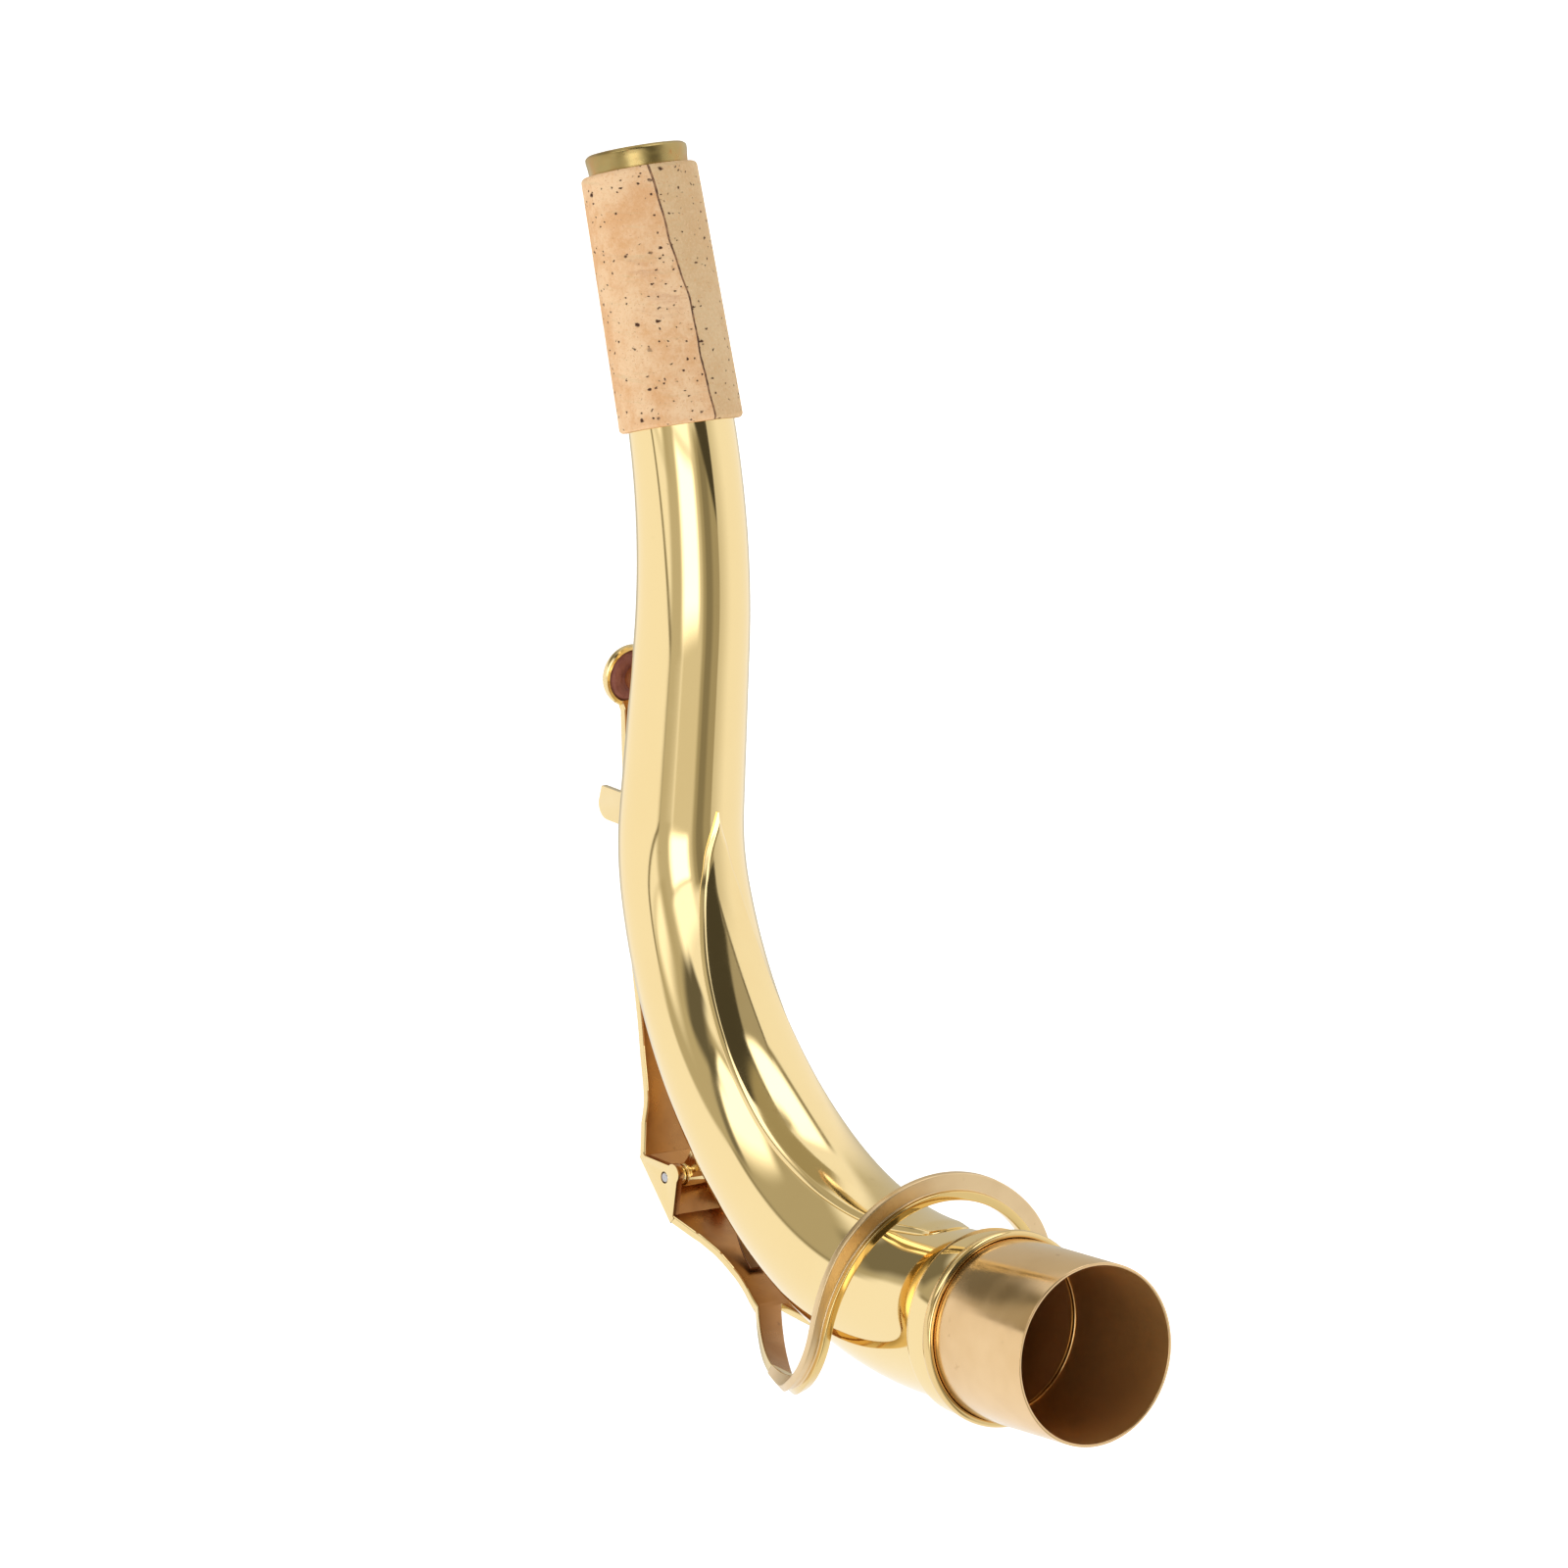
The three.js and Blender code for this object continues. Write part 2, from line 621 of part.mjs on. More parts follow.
// Pad cup, open to the tube
function padCup() {
  const frame = frameAt(PIP_STATION);
  const radius = tubeRadius(PIP_STATION);
  const rim = radius + CUP_RIM_LIFT;
  const back = rim + CUP_DEPTH;
  const inner = CUP_RADIUS - CUP_WALL;
  const corners = [
    [inner, rim],
    [CUP_RADIUS, rim],
    ...roundCorners(CUP_RADIUS - CUP_ROUND, back - CUP_ROUND, CUP_ROUND, 0, Math.PI / 2),
    [0, back],
    [0, back - CUP_WALL],
    [inner, back - CUP_WALL],
  ];
  return turned(corners, TUBE_SIDES, frame.point, frame.outer);
}

// Leather-faced pad in the cup
function octavePad() {
  const frame = frameAt(PIP_STATION);
  const face = tubeRadius(PIP_STATION) + PAD_FACE_LIFT;
  const radius = CUP_RADIUS - CUP_WALL - RUNNING_GAP;
  return cylinder(radius, face, face + PAD_THICKNESS, TUBE_SIDES, frame.point, frame.outer);
}

const SQUARE_CAPS = [[0, 1, 2], [0, 2, 3]];

// A strip whose sections stand across y, from its middle points, half widths and outward ways
function stripAcross(middles, halfWidths, normals, thickness) {
  const sections = middles.map((middle, i) => {
    const up = normals[i].clone().multiplyScalar(thickness / 2);
    const low = middle.clone().sub(up);
    const high = middle.clone().add(up);
    const w = halfWidths[i];
    return [low.clone().setY(-w), low.clone().setY(w), high.clone().setY(w), high.clone().setY(-w)];
  });
  return bodyFromSections(sections, SQUARE_CAPS);
}

// The way away from the tube that stands square on a path at its point i
function pathNormals(middles, first) {
  return middles.map((middle, i) => {
    if (i === 0) return first.clone();
    const before = middles[i - 1];
    const after = middles[Math.min(i + 1, middles.length - 1)];
    const way = after.clone().sub(before).normalize();
    const normal = new THREE.Vector3(-way.z, 0, way.x);
    return normal.dot(first) < 0 ? normal.negate() : normal;
  });
}

const YOKE_HALF_WIDTH = BARREL_HALF_LENGTH + COLLAR_LENGTH + 2 * BUTT_GAP + EAR_THICKNESS;
const YOKE_MIDDLE_RISE = YOKE_RISE - ARM_THICKNESS / 2;
const YOKE_LIFT = PIVOT_HEIGHT + YOKE_RISE;
const FORK_LIFT = YOKE_LIFT * LOWER_ARM_LIFT_SHARES[LOWER_ARM_LIFT_SHARES.length - 1];

// Middle points of an arm that leaves the yoke. Its outer face has a lift over the tube at each station.
function armMiddles(end, stations, lifts) {
  const reach = YOKE_HALF_LENGTH + BUTT_GAP;
  const first = atHinge(end * reach, YOKE_MIDDLE_RISE, 0);
  const rest = stations.map((station, i) => pointOver(station, lifts[i] - ARM_THICKNESS / 2, 0));
  return [first, ...rest];
}

// Upper arm, from the hinge to the pad cup
function keyUpperArm() {
  const start = HINGE_STATION + YOKE_HALF_LENGTH;
  const end = PIP_STATION - CUP_RADIUS - RUNNING_GAP;
  const stations = UPPER_ARM_STATION_SHARES.map((share) => start + (end - start) * share);
  const lifts = UPPER_ARM_LIFT_SHARES.map((share) => YOKE_LIFT * share);
  const widths = UPPER_ARM_WIDTH_SHARES.map((share) =>
    ARM_PAD_HALF_WIDTH + (YOKE_HALF_WIDTH - ARM_PAD_HALF_WIDTH) * share);
  const middles = armMiddles(-1, stations, lifts);
  const normals = pathNormals(middles, hinge.outer);
  return stripAcross(middles, [YOKE_HALF_WIDTH, ...widths], normals, ARM_THICKNESS);
}

// The hole that the pivot rod needs
function rodDrill() {
  const reach = YOKE_HALF_WIDTH + RUNNING_GAP;
  return cylinder(ROD_RADIUS + PIN_GAP, -reach, reach, SMALL_SIDES, pivot, SIDE);
}

// Yoke: plate over the hinge with two ears folded down to the rod
function hingeYoke() {
  const inner = YOKE_HALF_WIDTH - EAR_THICKNESS;
  const plate = [
    [-YOKE_HALF_LENGTH, YOKE_RISE - YOKE_PLATE],
    [YOKE_HALF_LENGTH, YOKE_RISE - YOKE_PLATE],
    [YOKE_HALF_LENGTH, YOKE_RISE],
    [-YOKE_HALF_LENGTH, YOKE_RISE],
  ];
  const tip = roundCorners(EAR_TIP_OFFSET, EAR_TIP_RADIUS - EAR_REACH, EAR_TIP_RADIUS, -Math.PI, 0);
  const foot = YOKE_RISE - YOKE_PLATE / 2;
  const ear = [...tip, [YOKE_HALF_LENGTH, foot], [-YOKE_HALF_LENGTH, foot]];
  const drill = rodDrill();
  const body = joined(
    plateInPlane(plate, hinge, pivot, -YOKE_HALF_WIDTH, YOKE_HALF_WIDTH),
    plateInPlane(ear, hinge, pivot, -YOKE_HALF_WIDTH, -inner),
    plateInPlane(ear, hinge, pivot, inner, YOKE_HALF_WIDTH),
  );
  return cut(body, drill);
}

// Collar between an ear and the barrel. The sign picks the side.
function hingeCollar(sign) {
  const near = BARREL_HALF_LENGTH + BUTT_GAP;
  const far = near + COLLAR_LENGTH;
  const bore = ROD_RADIUS + PIN_GAP;
  const corners = [[bore, near], [COLLAR_RADIUS, near], [COLLAR_RADIUS, far], [bore, far]];
  return turned(corners, SMALL_SIDES, pivot, SIDE.clone().multiplyScalar(sign));
}

// Pivot rod, plain at the near ear and slotted at the far one
function hingeRod() {
  const head = YOKE_HALF_WIDTH + BUTT_GAP;
  const top = head + ROD_HEAD_HEIGHT;
  const middle = (head + top) / 2;
  const rod = cylinder(ROD_RADIUS, -YOKE_HALF_WIDTH, middle, SMALL_SIDES, pivot, SIDE);
  const cap = cylinder(ROD_HEAD_RADIUS, head, top, SMALL_SIDES, pivot, SIDE);
  const slotLength = 2 * (ROD_HEAD_RADIUS + RUNNING_GAP);
  const slot = new THREE.BoxGeometry(slotLength, 2 * ROD_SLOT_DEPTH, ROD_SLOT_WIDTH);
  return cut(joined(rod, cap), slot.translate(pivot.x, top, pivot.z));
}

// Saddle: foot on the tube, post and barrel
function hingeSaddle() {
  const start = HINGE_STATION - SADDLE_HALF_LENGTH;
  const stations = stationsBetween(start, HINGE_STATION + SADDLE_HALF_LENGTH);
  const foot = plateOnTube(stations, () => SADDLE_HALF_WIDTH, SADDLE_FOOT_THICKNESS, OUTER_SIDE);
  const footTop = SOLDER_GAP + SADDLE_FOOT_THICKNESS / 2 - PIVOT_HEIGHT;
  const post = [
    [-POST_FOOT_HALF_LENGTH, footTop],
    [POST_FOOT_HALF_LENGTH, footTop],
    [POST_NECK_HALF_LENGTH, -BARREL_RADIUS],
    [POST_NECK_HALF_LENGTH, 0],
    [-POST_NECK_HALF_LENGTH, 0],
    [-POST_NECK_HALF_LENGTH, -BARREL_RADIUS],
  ];
  const half = BARREL_HALF_LENGTH;
  const web = plateInPlane(post, hinge, pivot, -half, half);
  const barrel = cylinder(BARREL_RADIUS, -half, half, SMALL_SIDES, pivot, SIDE);
  const drill = rodDrill();
  return cut(joined(foot, web, barrel), drill);
}

// Flat spring: its foot lies on the saddle's foot, its tip bears under the lower arm
function springPath() {
  const start = HINGE_STATION - POST_FOOT_HALF_LENGTH - RUNNING_GAP;
  const low = SOLDER_GAP + SADDLE_FOOT_THICKNESS + RUNNING_GAP + SPRING_THICKNESS / 2;
  const high = FORK_LIFT - ARM_THICKNESS - RUNNING_GAP - SPRING_THICKNESS / 2;
  const flat = SPRING_FLAT_SHARES.map((share) => pointOver(start - SPRING_FLAT * share, low, 0));
  const rise = Array.from({ length: SPRING_STEPS }, (_, i) => {
    const share = (i + 1) / SPRING_STEPS;
    const lift = low + (high - low) * Math.sin(share * Math.PI / 2);
    return pointOver(start - SPRING_FLAT - SPRING_REACH * share, lift, 0);
  });
  return [...flat, ...rise];
}

function flatSpring() {
  const middles = springPath();
  const normals = pathNormals(middles, frameAt(HINGE_STATION - SPRING_FLAT).outer);
  return stripAcross(middles, middles.map(() => SPRING_HALF_WIDTH), normals, SPRING_THICKNESS);
}

// Slotted screw head on the spring's foot
function springScrew() {
  const station = HINGE_STATION - POST_FOOT_HALF_LENGTH - RUNNING_GAP - SPRING_FLAT / 2;
  const frame = frameAt(station);
  const springTop = SOLDER_GAP + SADDLE_FOOT_THICKNESS + RUNNING_GAP + SPRING_THICKNESS;
  const bottom = tubeRadius(station) + springTop + RUNNING_GAP;
  const top = bottom + SCREW_HEAD_HEIGHT;
  const head = cylinder(SCREW_HEAD_RADIUS, bottom, top, SMALL_SIDES, frame.point, frame.outer);
  const slotLength = 2 * (SCREW_HEAD_RADIUS + RUNNING_GAP);
  const slot = new THREE.BoxGeometry(SCREW_SLOT_WIDTH, 2 * SCREW_SLOT_DEPTH, slotLength);
  return cut(head, aimed(slot.translate(0, top, 0), frame.point, frame.outer));
}

// Guide: foot on the tube and two cheeks with a round outer corner
function keyGuide() {
  const frame = frameAt(GUIDE_STATION);
  const radius = tubeRadius(GUIDE_STATION);
  const half = GUIDE_LENGTH / 2;
  const inner = ARM_PAD_HALF_WIDTH + GUIDE_SIDE_GAP;
  const outer = inner + GUIDE_CHEEK;
  const middle = (inner + outer) / 2;
  const stations = stationsBetween(GUIDE_STATION - half, GUIDE_STATION + half);
  const foot = plateOnTube(stations, () => outer, GUIDE_FOOT_THICKNESS, OUTER_SIDE);
  const bottom = Math.sqrt((radius + SOLDER_GAP + GUIDE_FOOT_THICKNESS / 2) ** 2 - middle ** 2);
  const top = radius + GUIDE_HEIGHT;
  const cheek = [
    [-half, bottom],
    [half, bottom],
    ...roundCorners(half - GUIDE_ROUND, top - GUIDE_ROUND, GUIDE_ROUND, 0, Math.PI / 2),
    [-half, top - GUIDE_SLOPE_HEIGHT],
  ];
  return joined(
    foot,
    plateInPlane(cheek, frame, frame.point, -outer, -inner),
    plateInPlane(cheek, frame, frame.point, inner, outer),
  );
}

// The ring's own frame: up is the loop's long way, front looks to the tenon
const ringStation = frameAt(RING_STATION);
const ringCentre = ringStation.point.clone().addScaledVector(ringStation.outer, RING_DROP);
const ringUp = ringStation.inner.clone().applyAxisAngle(SIDE, RING_TILT);
const ringFront = ringStation.along.clone().negate().applyAxisAngle(SIDE, RING_TILT);
const RING_BAND_THICKNESS = ARM_THICKNESS;

// Middle of the ring's band at an angle from the top, on the side given by the angle's sign
function ringPoint(angle) {
  const up = (RING_INNER_HALF_HEIGHT + RING_BAND_THICKNESS / 2) * Math.cos(angle);
  const across = (RING_INNER_HALF_WIDTH + RING_BAND_THICKNESS / 2) * Math.sin(angle);
  return ringCentre.clone().addScaledVector(ringUp, up).addScaledVector(SIDE, across);
}

// The way outward from the ring at an angle
function ringOutward(angle) {
  const up = Math.cos(angle) / RING_INNER_HALF_HEIGHT;
  const across = Math.sin(angle) / RING_INNER_HALF_WIDTH;
  return ringUp.clone().multiplyScalar(up).addScaledVector(SIDE, across).normalize();
}

// The way along the ring at an angle, from the top down
function ringAlong(angle) {
  const up = -RING_INNER_HALF_HEIGHT * Math.sin(angle);
  const across = RING_INNER_HALF_WIDTH * Math.cos(angle);
  return ringUp.clone().multiplyScalar(up).addScaledVector(SIDE, across).normalize();
}

// Path of a prong, from the fork to the ring's foot. The sign picks the side.
function prongCurve(sign) {
  const start = pointOver(FORK_STATION, FORK_LIFT - ARM_THICKNESS / 2, sign * PRONG_START_Y);
  const frame = frameAt(FORK_STATION);
  const level = frame.along.clone().negate().applyAxisAngle(SIDE, -PRONG_DIVE);
  const leave = level.multiplyScalar(Math.cos(PRONG_SPREAD));
  leave.addScaledVector(SIDE, sign * Math.sin(PRONG_SPREAD));
  const end = ringPoint(sign * RING_FOOT_ANGLE);
  const arrive = ringAlong(sign * RING_FOOT_ANGLE).multiplyScalar(-sign);
  return new THREE.CubicBezierCurve3(
    start,
    start.clone().addScaledVector(leave, PRONG_START_REACH),
    end.clone().addScaledVector(arrive, -PRONG_END_REACH),
    end,
  );
}

// Frame of a prong at a share of its length: middle, way along, outward face and width
function prongFrame(curve, share, sign) {
  const middle = curve.getPoint(share);
  const along = curve.getTangent(share);
  const turn = THREE.MathUtils.smoothstep(share, 0, 1);
  const outward = frameAt(FORK_STATION).outer.multiplyScalar(1 - turn);
  outward.addScaledVector(ringOutward(sign * RING_FOOT_ANGLE), turn);
  outward.addScaledVector(along, -outward.dot(along)).normalize();
  const width = new THREE.Vector3().crossVectors(along, outward).normalize();
  return { middle, outward, width };
}

// Width of the band at a share of the prong's path, which narrows to the loop's
function bandWidthAt(share) {
  const narrow = THREE.MathUtils.smoothstep(share, BAND_TAPER_START_SHARE, BAND_TAPER_END_SHARE);
  return PRONG_WIDTH + (RING_BAND_WIDTH - PRONG_WIDTH) * narrow;
}

// Plain prongs of the lower arm, up to where the ring piece takes over
function prong(sign) {
  const curve = prongCurve(sign);
  const sections = Array.from({ length: PRONG_STEPS + 1 }, (_, i) => {
    const share = PRONG_SPLIT_SHARE * i / PRONG_STEPS;
    const { middle, outward, width } = prongFrame(curve, share, sign);
    const up = outward.multiplyScalar(ARM_THICKNESS / 2);
    const side = width.multiplyScalar(bandWidthAt(share) / 2);
    return [
      middle.clone().sub(up).sub(side),
      middle.clone().sub(up).add(side),
      middle.clone().add(up).add(side),
      middle.clone().add(up).sub(side),
    ];
  });
  return bodyFromSections(sections, SQUARE_CAPS);
}

// Lower arm, waisted, forked into its two prongs
function keyLowerArm() {
  const start = HINGE_STATION - YOKE_HALF_LENGTH;
  const stations = LOWER_ARM_STATION_SHARES.map((share) => start + (FORK_STATION - start) * share);
  const lifts = LOWER_ARM_LIFT_SHARES.map((share) => YOKE_LIFT * share);
  const widths = LOWER_ARM_WIDTH_SHARES.map((share, i) => {
    const pastWaist = LOWER_ARM_STATION_SHARES[i] > LOWER_ARM_WAIST_SHARE;
    const wide = pastWaist ? LOWER_ARM_FORK_HALF_WIDTH : YOKE_HALF_WIDTH;
    return LOWER_ARM_WAIST_HALF_WIDTH + (wide - LOWER_ARM_WAIST_HALF_WIDTH) * share;
  });
  const middles = armMiddles(1, stations, lifts);
  const normals = pathNormals(middles, hinge.outer);
  const arm = stripAcross(middles, [YOKE_HALF_WIDTH, ...widths], normals, ARM_THICKNESS);
  return joined(arm, prong(-1), prong(1));
}

// A section of the ring's angle profile: the band, and the flange at its back edge
function angleSection(middle, outward, front, bandWidth, flangeHeight) {
  const t = RING_BAND_THICKNESS / 2;
  const w = bandWidth / 2;
  const f = RING_FLANGE_THICKNESS - w;
  const at = (across, out) =>
    middle.clone().addScaledVector(front, across).addScaledVector(outward, out);
  const high = t + flangeHeight;
  return [at(-w, -t), at(w, -t), at(w, t), at(f, t), at(f, high), at(-w, high)];
}

const ANGLE_CAPS = [[0, 1, 2], [0, 2, 3], [0, 3, 5], [3, 4, 5]];

// Octave ring: two bends that leave the prongs and the loop over the tube
function octaveRing() {
  const flangeHeight = (grown) => BUTT_GAP + RING_FLANGE_HEIGHT * grown;
  const bend = (sign) => {
    const curve = prongCurve(sign);
    const start = PRONG_SPLIT_SHARE + BUTT_GAP / curve.getLength();
    return Array.from({ length: RING_BEND_STEPS }, (_, i) => {
      const share = start + (1 - start) * i / RING_BEND_STEPS;
      const { middle, outward, width } = prongFrame(curve, share, sign);
      const front = width.multiplyScalar(width.dot(ringFront) < 0 ? -1 : 1);
      const up = THREE.MathUtils.smoothstep(share, PRONG_SPLIT_SHARE, BEND_FLANGE_END_SHARE);
      const height = flangeHeight(FLANGE_FOOT_SHARE * up);
      return angleSection(middle, outward, front, bandWidthAt(share), height);
    });
  };
  const loop = Array.from({ length: RING_LOOP_STEPS + 1 }, (_, i) => {
    const angle = RING_FOOT_ANGLE * (2 * i / RING_LOOP_STEPS - 1);
    const away = Math.abs(angle) / RING_FOOT_ANGLE;
    const down = THREE.MathUtils.smoothstep(away, LOOP_FLANGE_START_SHARE, 1);
    const height = flangeHeight(1 - (1 - FLANGE_FOOT_SHARE) * down);
    return angleSection(ringPoint(angle), ringOutward(angle), ringFront, RING_BAND_WIDTH, height);
  });
  return bodyFromSections([...bend(-1), ...loop, ...bend(1).reverse()], ANGLE_CAPS);
}

// Scene graph
function piece(name, geometry, look) {
  const flat = geometry.index ? geometry.toNonIndexed() : geometry;
  const shaded = mergedOf(flat);
  shaded.computeVertexNormals();
  const mesh = new THREE.Mesh(shaded, new THREE.MeshStandardMaterial(look));
  mesh.name = name;
  return mesh;
}

const neck = new THREE.Group();
neck.name = 'neck';
neck.add(
  piece('neck_tube', neckTube(), lacqueredBrass),
  piece('mouthpiece_end_ring', mouthpieceEndRing(), tarnishedBrass),
  piece('neck_cork', neckCork(), corkSheet),
  piece('brace_plate', bracePlate(), lacqueredBrass),
  piece('tenon_ferrule', tenonFerrule(), lacqueredBrass),
  piece('tenon_stop_bead', tenonStopBead(), lacqueredBrass),
  piece('tenon_sleeve', tenonSleeve(), satinBrass),
  piece('octave_pip', octavePip(), lacqueredBrass),
  piece('key_guide', keyGuide(), lacqueredBrass),
  piece('hinge_saddle', hingeSaddle(), lacqueredBrass),
  piece('flat_spring', flatSpring(), blueSteel),
  piece('spring_screw', springScrew(), whiteSteel),
);

const octaveKey = new THREE.Group();
octaveKey.name = 'octave_key';
octaveKey.add(
  piece('pad_cup', padCup(), lacqueredBrass),
  piece('octave_pad', octavePad(), padLeather),
  piece('key_upper_arm', keyUpperArm(), lacqueredBrass),
  piece('hinge_yoke', hingeYoke(), lacqueredBrass),
  piece('hinge_collar_near', hingeCollar(-1), lacqueredBrass),
  piece('hinge_collar_far', hingeCollar(1), lacqueredBrass),
  piece('hinge_rod', hingeRod(), whiteSteel),
  piece('key_lower_arm', keyLowerArm(), lacqueredBrass),
  piece('octave_ring', octaveRing(), satinBrass),
);

const group = new THREE.Group();
group.add(neck, octaveKey);
export default group;
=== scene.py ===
"""A tenor saxophone neck, dressed over its CAD frame.

Sizes are in millimetres in the classes and become metres when a mesh is made. The frame is the
part's own: the origin is the centre of the tenon's stop shoulder, +X points out of the tenon, +Z
to the mouthpiece end, and the neck bends in the plane y = 0.
"""

import logging
import math
from collections.abc import Callable, Sequence
from dataclasses import dataclass, field
from enum import Enum
from typing import ClassVar

import bmesh
import bpy
from bpy.types import Material, Node, NodeSocket, NodeTree, Object
from mathutils import Matrix, Quaternion, Vector

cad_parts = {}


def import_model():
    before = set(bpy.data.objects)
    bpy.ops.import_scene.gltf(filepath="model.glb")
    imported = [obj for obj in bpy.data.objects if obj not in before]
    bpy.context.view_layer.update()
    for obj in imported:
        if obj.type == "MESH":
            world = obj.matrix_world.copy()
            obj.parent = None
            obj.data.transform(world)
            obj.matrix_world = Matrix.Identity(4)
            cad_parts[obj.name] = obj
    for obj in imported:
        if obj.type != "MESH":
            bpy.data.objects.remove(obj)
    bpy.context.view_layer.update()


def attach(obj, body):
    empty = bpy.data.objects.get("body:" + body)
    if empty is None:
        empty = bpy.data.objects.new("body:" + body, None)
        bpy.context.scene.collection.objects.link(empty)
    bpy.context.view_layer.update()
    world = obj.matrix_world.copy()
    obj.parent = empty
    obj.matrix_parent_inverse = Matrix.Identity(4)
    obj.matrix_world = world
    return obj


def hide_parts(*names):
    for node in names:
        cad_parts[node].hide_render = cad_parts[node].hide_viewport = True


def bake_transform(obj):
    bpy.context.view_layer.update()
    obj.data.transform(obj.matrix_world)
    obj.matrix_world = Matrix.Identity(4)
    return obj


log = logging.getLogger("saxophone_neck")

MM = 0.001
FULL_TURN = 2 * math.pi
SIDEWAYS = Vector((0, 1, 0))
NECK_BODY = "neck"
KEY_BODY = "octave_key"
ON_AXIS = 0.001  # the radius that stands for the axis in a turned outline
LET_IN = 0.12  # how far a saddle plate is let into the tube

Colour = tuple[float, float, float]
Triple = tuple[float, float, float]
Pair = tuple[float, float]


class Side(Enum):
    """Which side of the plane of the bend a piece is on."""

    NEAR = -1
    FAR = 1


class Wear(Enum):
    """How much a brass surface has been handled."""

    FRESH = 0.25
    USED = 0.6
    DULL = 1.0


# ---------------------------------------------------------------------------
# Shapes
# ---------------------------------------------------------------------------


@dataclass(frozen=True)
class LineRun:
    """One straight or arc of the centre line: its length and how far it turns."""

    length: float
    turn: float = 0.0


@dataclass(frozen=True)
class StationFrame:
    """The centre line at a station: its point, its way to the mouthpiece, the bend's inside."""

    point: Vector
    along: Vector
    inner: Vector

    @property
    def outer(self) -> Vector:
        """The way to the outer side of the bend, where the key lies."""
        return -self.inner


@dataclass(frozen=True)
class Table:
    """A smooth curve through listed places and values."""

    places: tuple[float, ...]
    values: tuple[float, ...]

    def _slope(self, i: int) -> float:
        """The curve's slope at entry i.

        Args:
            i: Number of the entry.

        Returns:
            The slope between its neighbours.
        """
        low = max(i - 1, 0)
        high = min(i + 1, len(self.places) - 1)
        return (self.values[high] - self.values[low]) / (self.places[high] - self.places[low])

    def at(self, place: float) -> float:
        """The value at a place.

        Args:
            place: Where to read the curve; held to its ends.

        Returns:
            The smooth value there.
        """
        last = len(self.places) - 1
        place = min(max(place, self.places[0]), self.places[last])
        i = next(k for k in range(last) if place <= self.places[k + 1])
        span = self.places[i + 1] - self.places[i]
        t = (place - self.places[i]) / span
        rise = self.values[i + 1] - self.values[i]
        start = self._slope(i) * span
        end = self._slope(i + 1) * span
        bow = (start - rise) * (1 - t) - (end - rise) * t
        return self.values[i] + rise * t + t * (1 - t) * bow


def smoothstep(value: float, low: float, high: float) -> float:
    """A smooth step from 0, at low, to 1, at high."""
    t = min(max((value - low) / (high - low), 0.0), 1.0)
    return t * t * (3 - 2 * t)


@dataclass(frozen=True)
class NeckLine:
    """Centre line and taper of the neck tube."""

    runs: tuple[LineRun, ...] = (
        LineRun(16),
        LineRun(69.2 * math.radians(76.4), math.radians(76.4)),
        LineRun(34.7 * math.radians(20.6), math.radians(20.6)),
        LineRun(25.4),
        LineRun(94.4 * math.radians(22.8), -math.radians(22.8)),
        LineRun(38.3),
    )
    wall: float = 0.55
    tenon_radius: float = 13.18
    middle_radius: float = 10.2
    cork_radius: float = 8.0
    mouth_radius: float = 6.9
    tube_start: float = 2.6
    ring_height: float = 3.25
    ring_lip: float = 1.2
    cork_length: float = 38.8

    @property
    def mouth_station(self) -> float:
        """The station of the mouthpiece end."""
        return sum(run.length for run in self.runs)

    @property
    def cork_top(self) -> float:
        """The station of the cork's upper end."""
        return self.mouth_station - self.ring_height

    @property
    def cork_bottom(self) -> float:
        """The station of the cork's lower end."""
        return self.cork_top - self.cork_length

    @property
    def tube_end(self) -> float:
        """The station where the tube ends, inside the mouthpiece end ring."""
        return self.mouth_station - self.ring_lip

    def cork_share(self, station: float) -> float:
        """How far up the cork a station is, from 0 to 1."""
        return (station - self.cork_bottom) / self.cork_length

    def frame(self, station: float) -> StationFrame:
        """The frame of the centre line at a station.

        Args:
            station: Length along the line from the stop shoulder.

        Returns:
            The point and directions there.
        """
        x = z = angle = 0.0
        left = station
        for i, run in enumerate(self.runs):
            length = left if i == len(self.runs) - 1 else min(left, run.length)
            turn = run.turn * length / run.length
            chord = length if turn == 0 else 2 * (length / turn) * math.sin(turn / 2)
            x -= chord * math.cos(angle + turn / 2)
            z += chord * math.sin(angle + turn / 2)
            angle += turn
            left -= length
            if left <= 0:
                break
        along = Vector((-math.cos(angle), 0, math.sin(angle)))
        return StationFrame(Vector((x, 0, z)), along, Vector((math.sin(angle), 0, math.cos(angle))))

    def radius(self, station: float) -> float:
        """Outer radius of the tube.

        Args:
            station: Length along the line from the stop shoulder.

        Returns:
            The radius there.
        """
        if station >= self.cork_bottom:
            share = (station - self.cork_bottom) / (self.tube_end - self.cork_bottom)
            return self.cork_radius + (self.mouth_radius - self.cork_radius) * share
        t = (station - self.tube_start) / (self.cork_bottom - self.tube_start)
        start = self.tenon_radius * (1 - t) * (1 - 2 * t)
        middle = 4 * self.middle_radius * t * (1 - t)
        return start + middle + self.cork_radius * t * (2 * t - 1)

    def beside(self, station: float, distance: float, angle: float) -> Vector:
        """A point beside the centre line.

        Args:
            station: Length along the line.
            distance: Distance from the line.
            angle: Angle about the line, from the bend's inner side.

        Returns:
            The point.
        """
        frame = self.frame(station)
        point = frame.point + frame.inner * (distance * math.cos(angle))
        point.y = distance * math.sin(angle)
        return point

    def over(self, station: float, lift: float, y: float = 0.0) -> Vector:
        """A point over the tube's outer side.

        Args:
            station: Length along the line.
            lift: Height over the tube's surface.
            y: Distance from the plane of the bend.

        Returns:
            The point.
        """
        frame = self.frame(station)
        point = frame.point + frame.outer * (self.radius(station) + lift)
        point.y = y
        return point


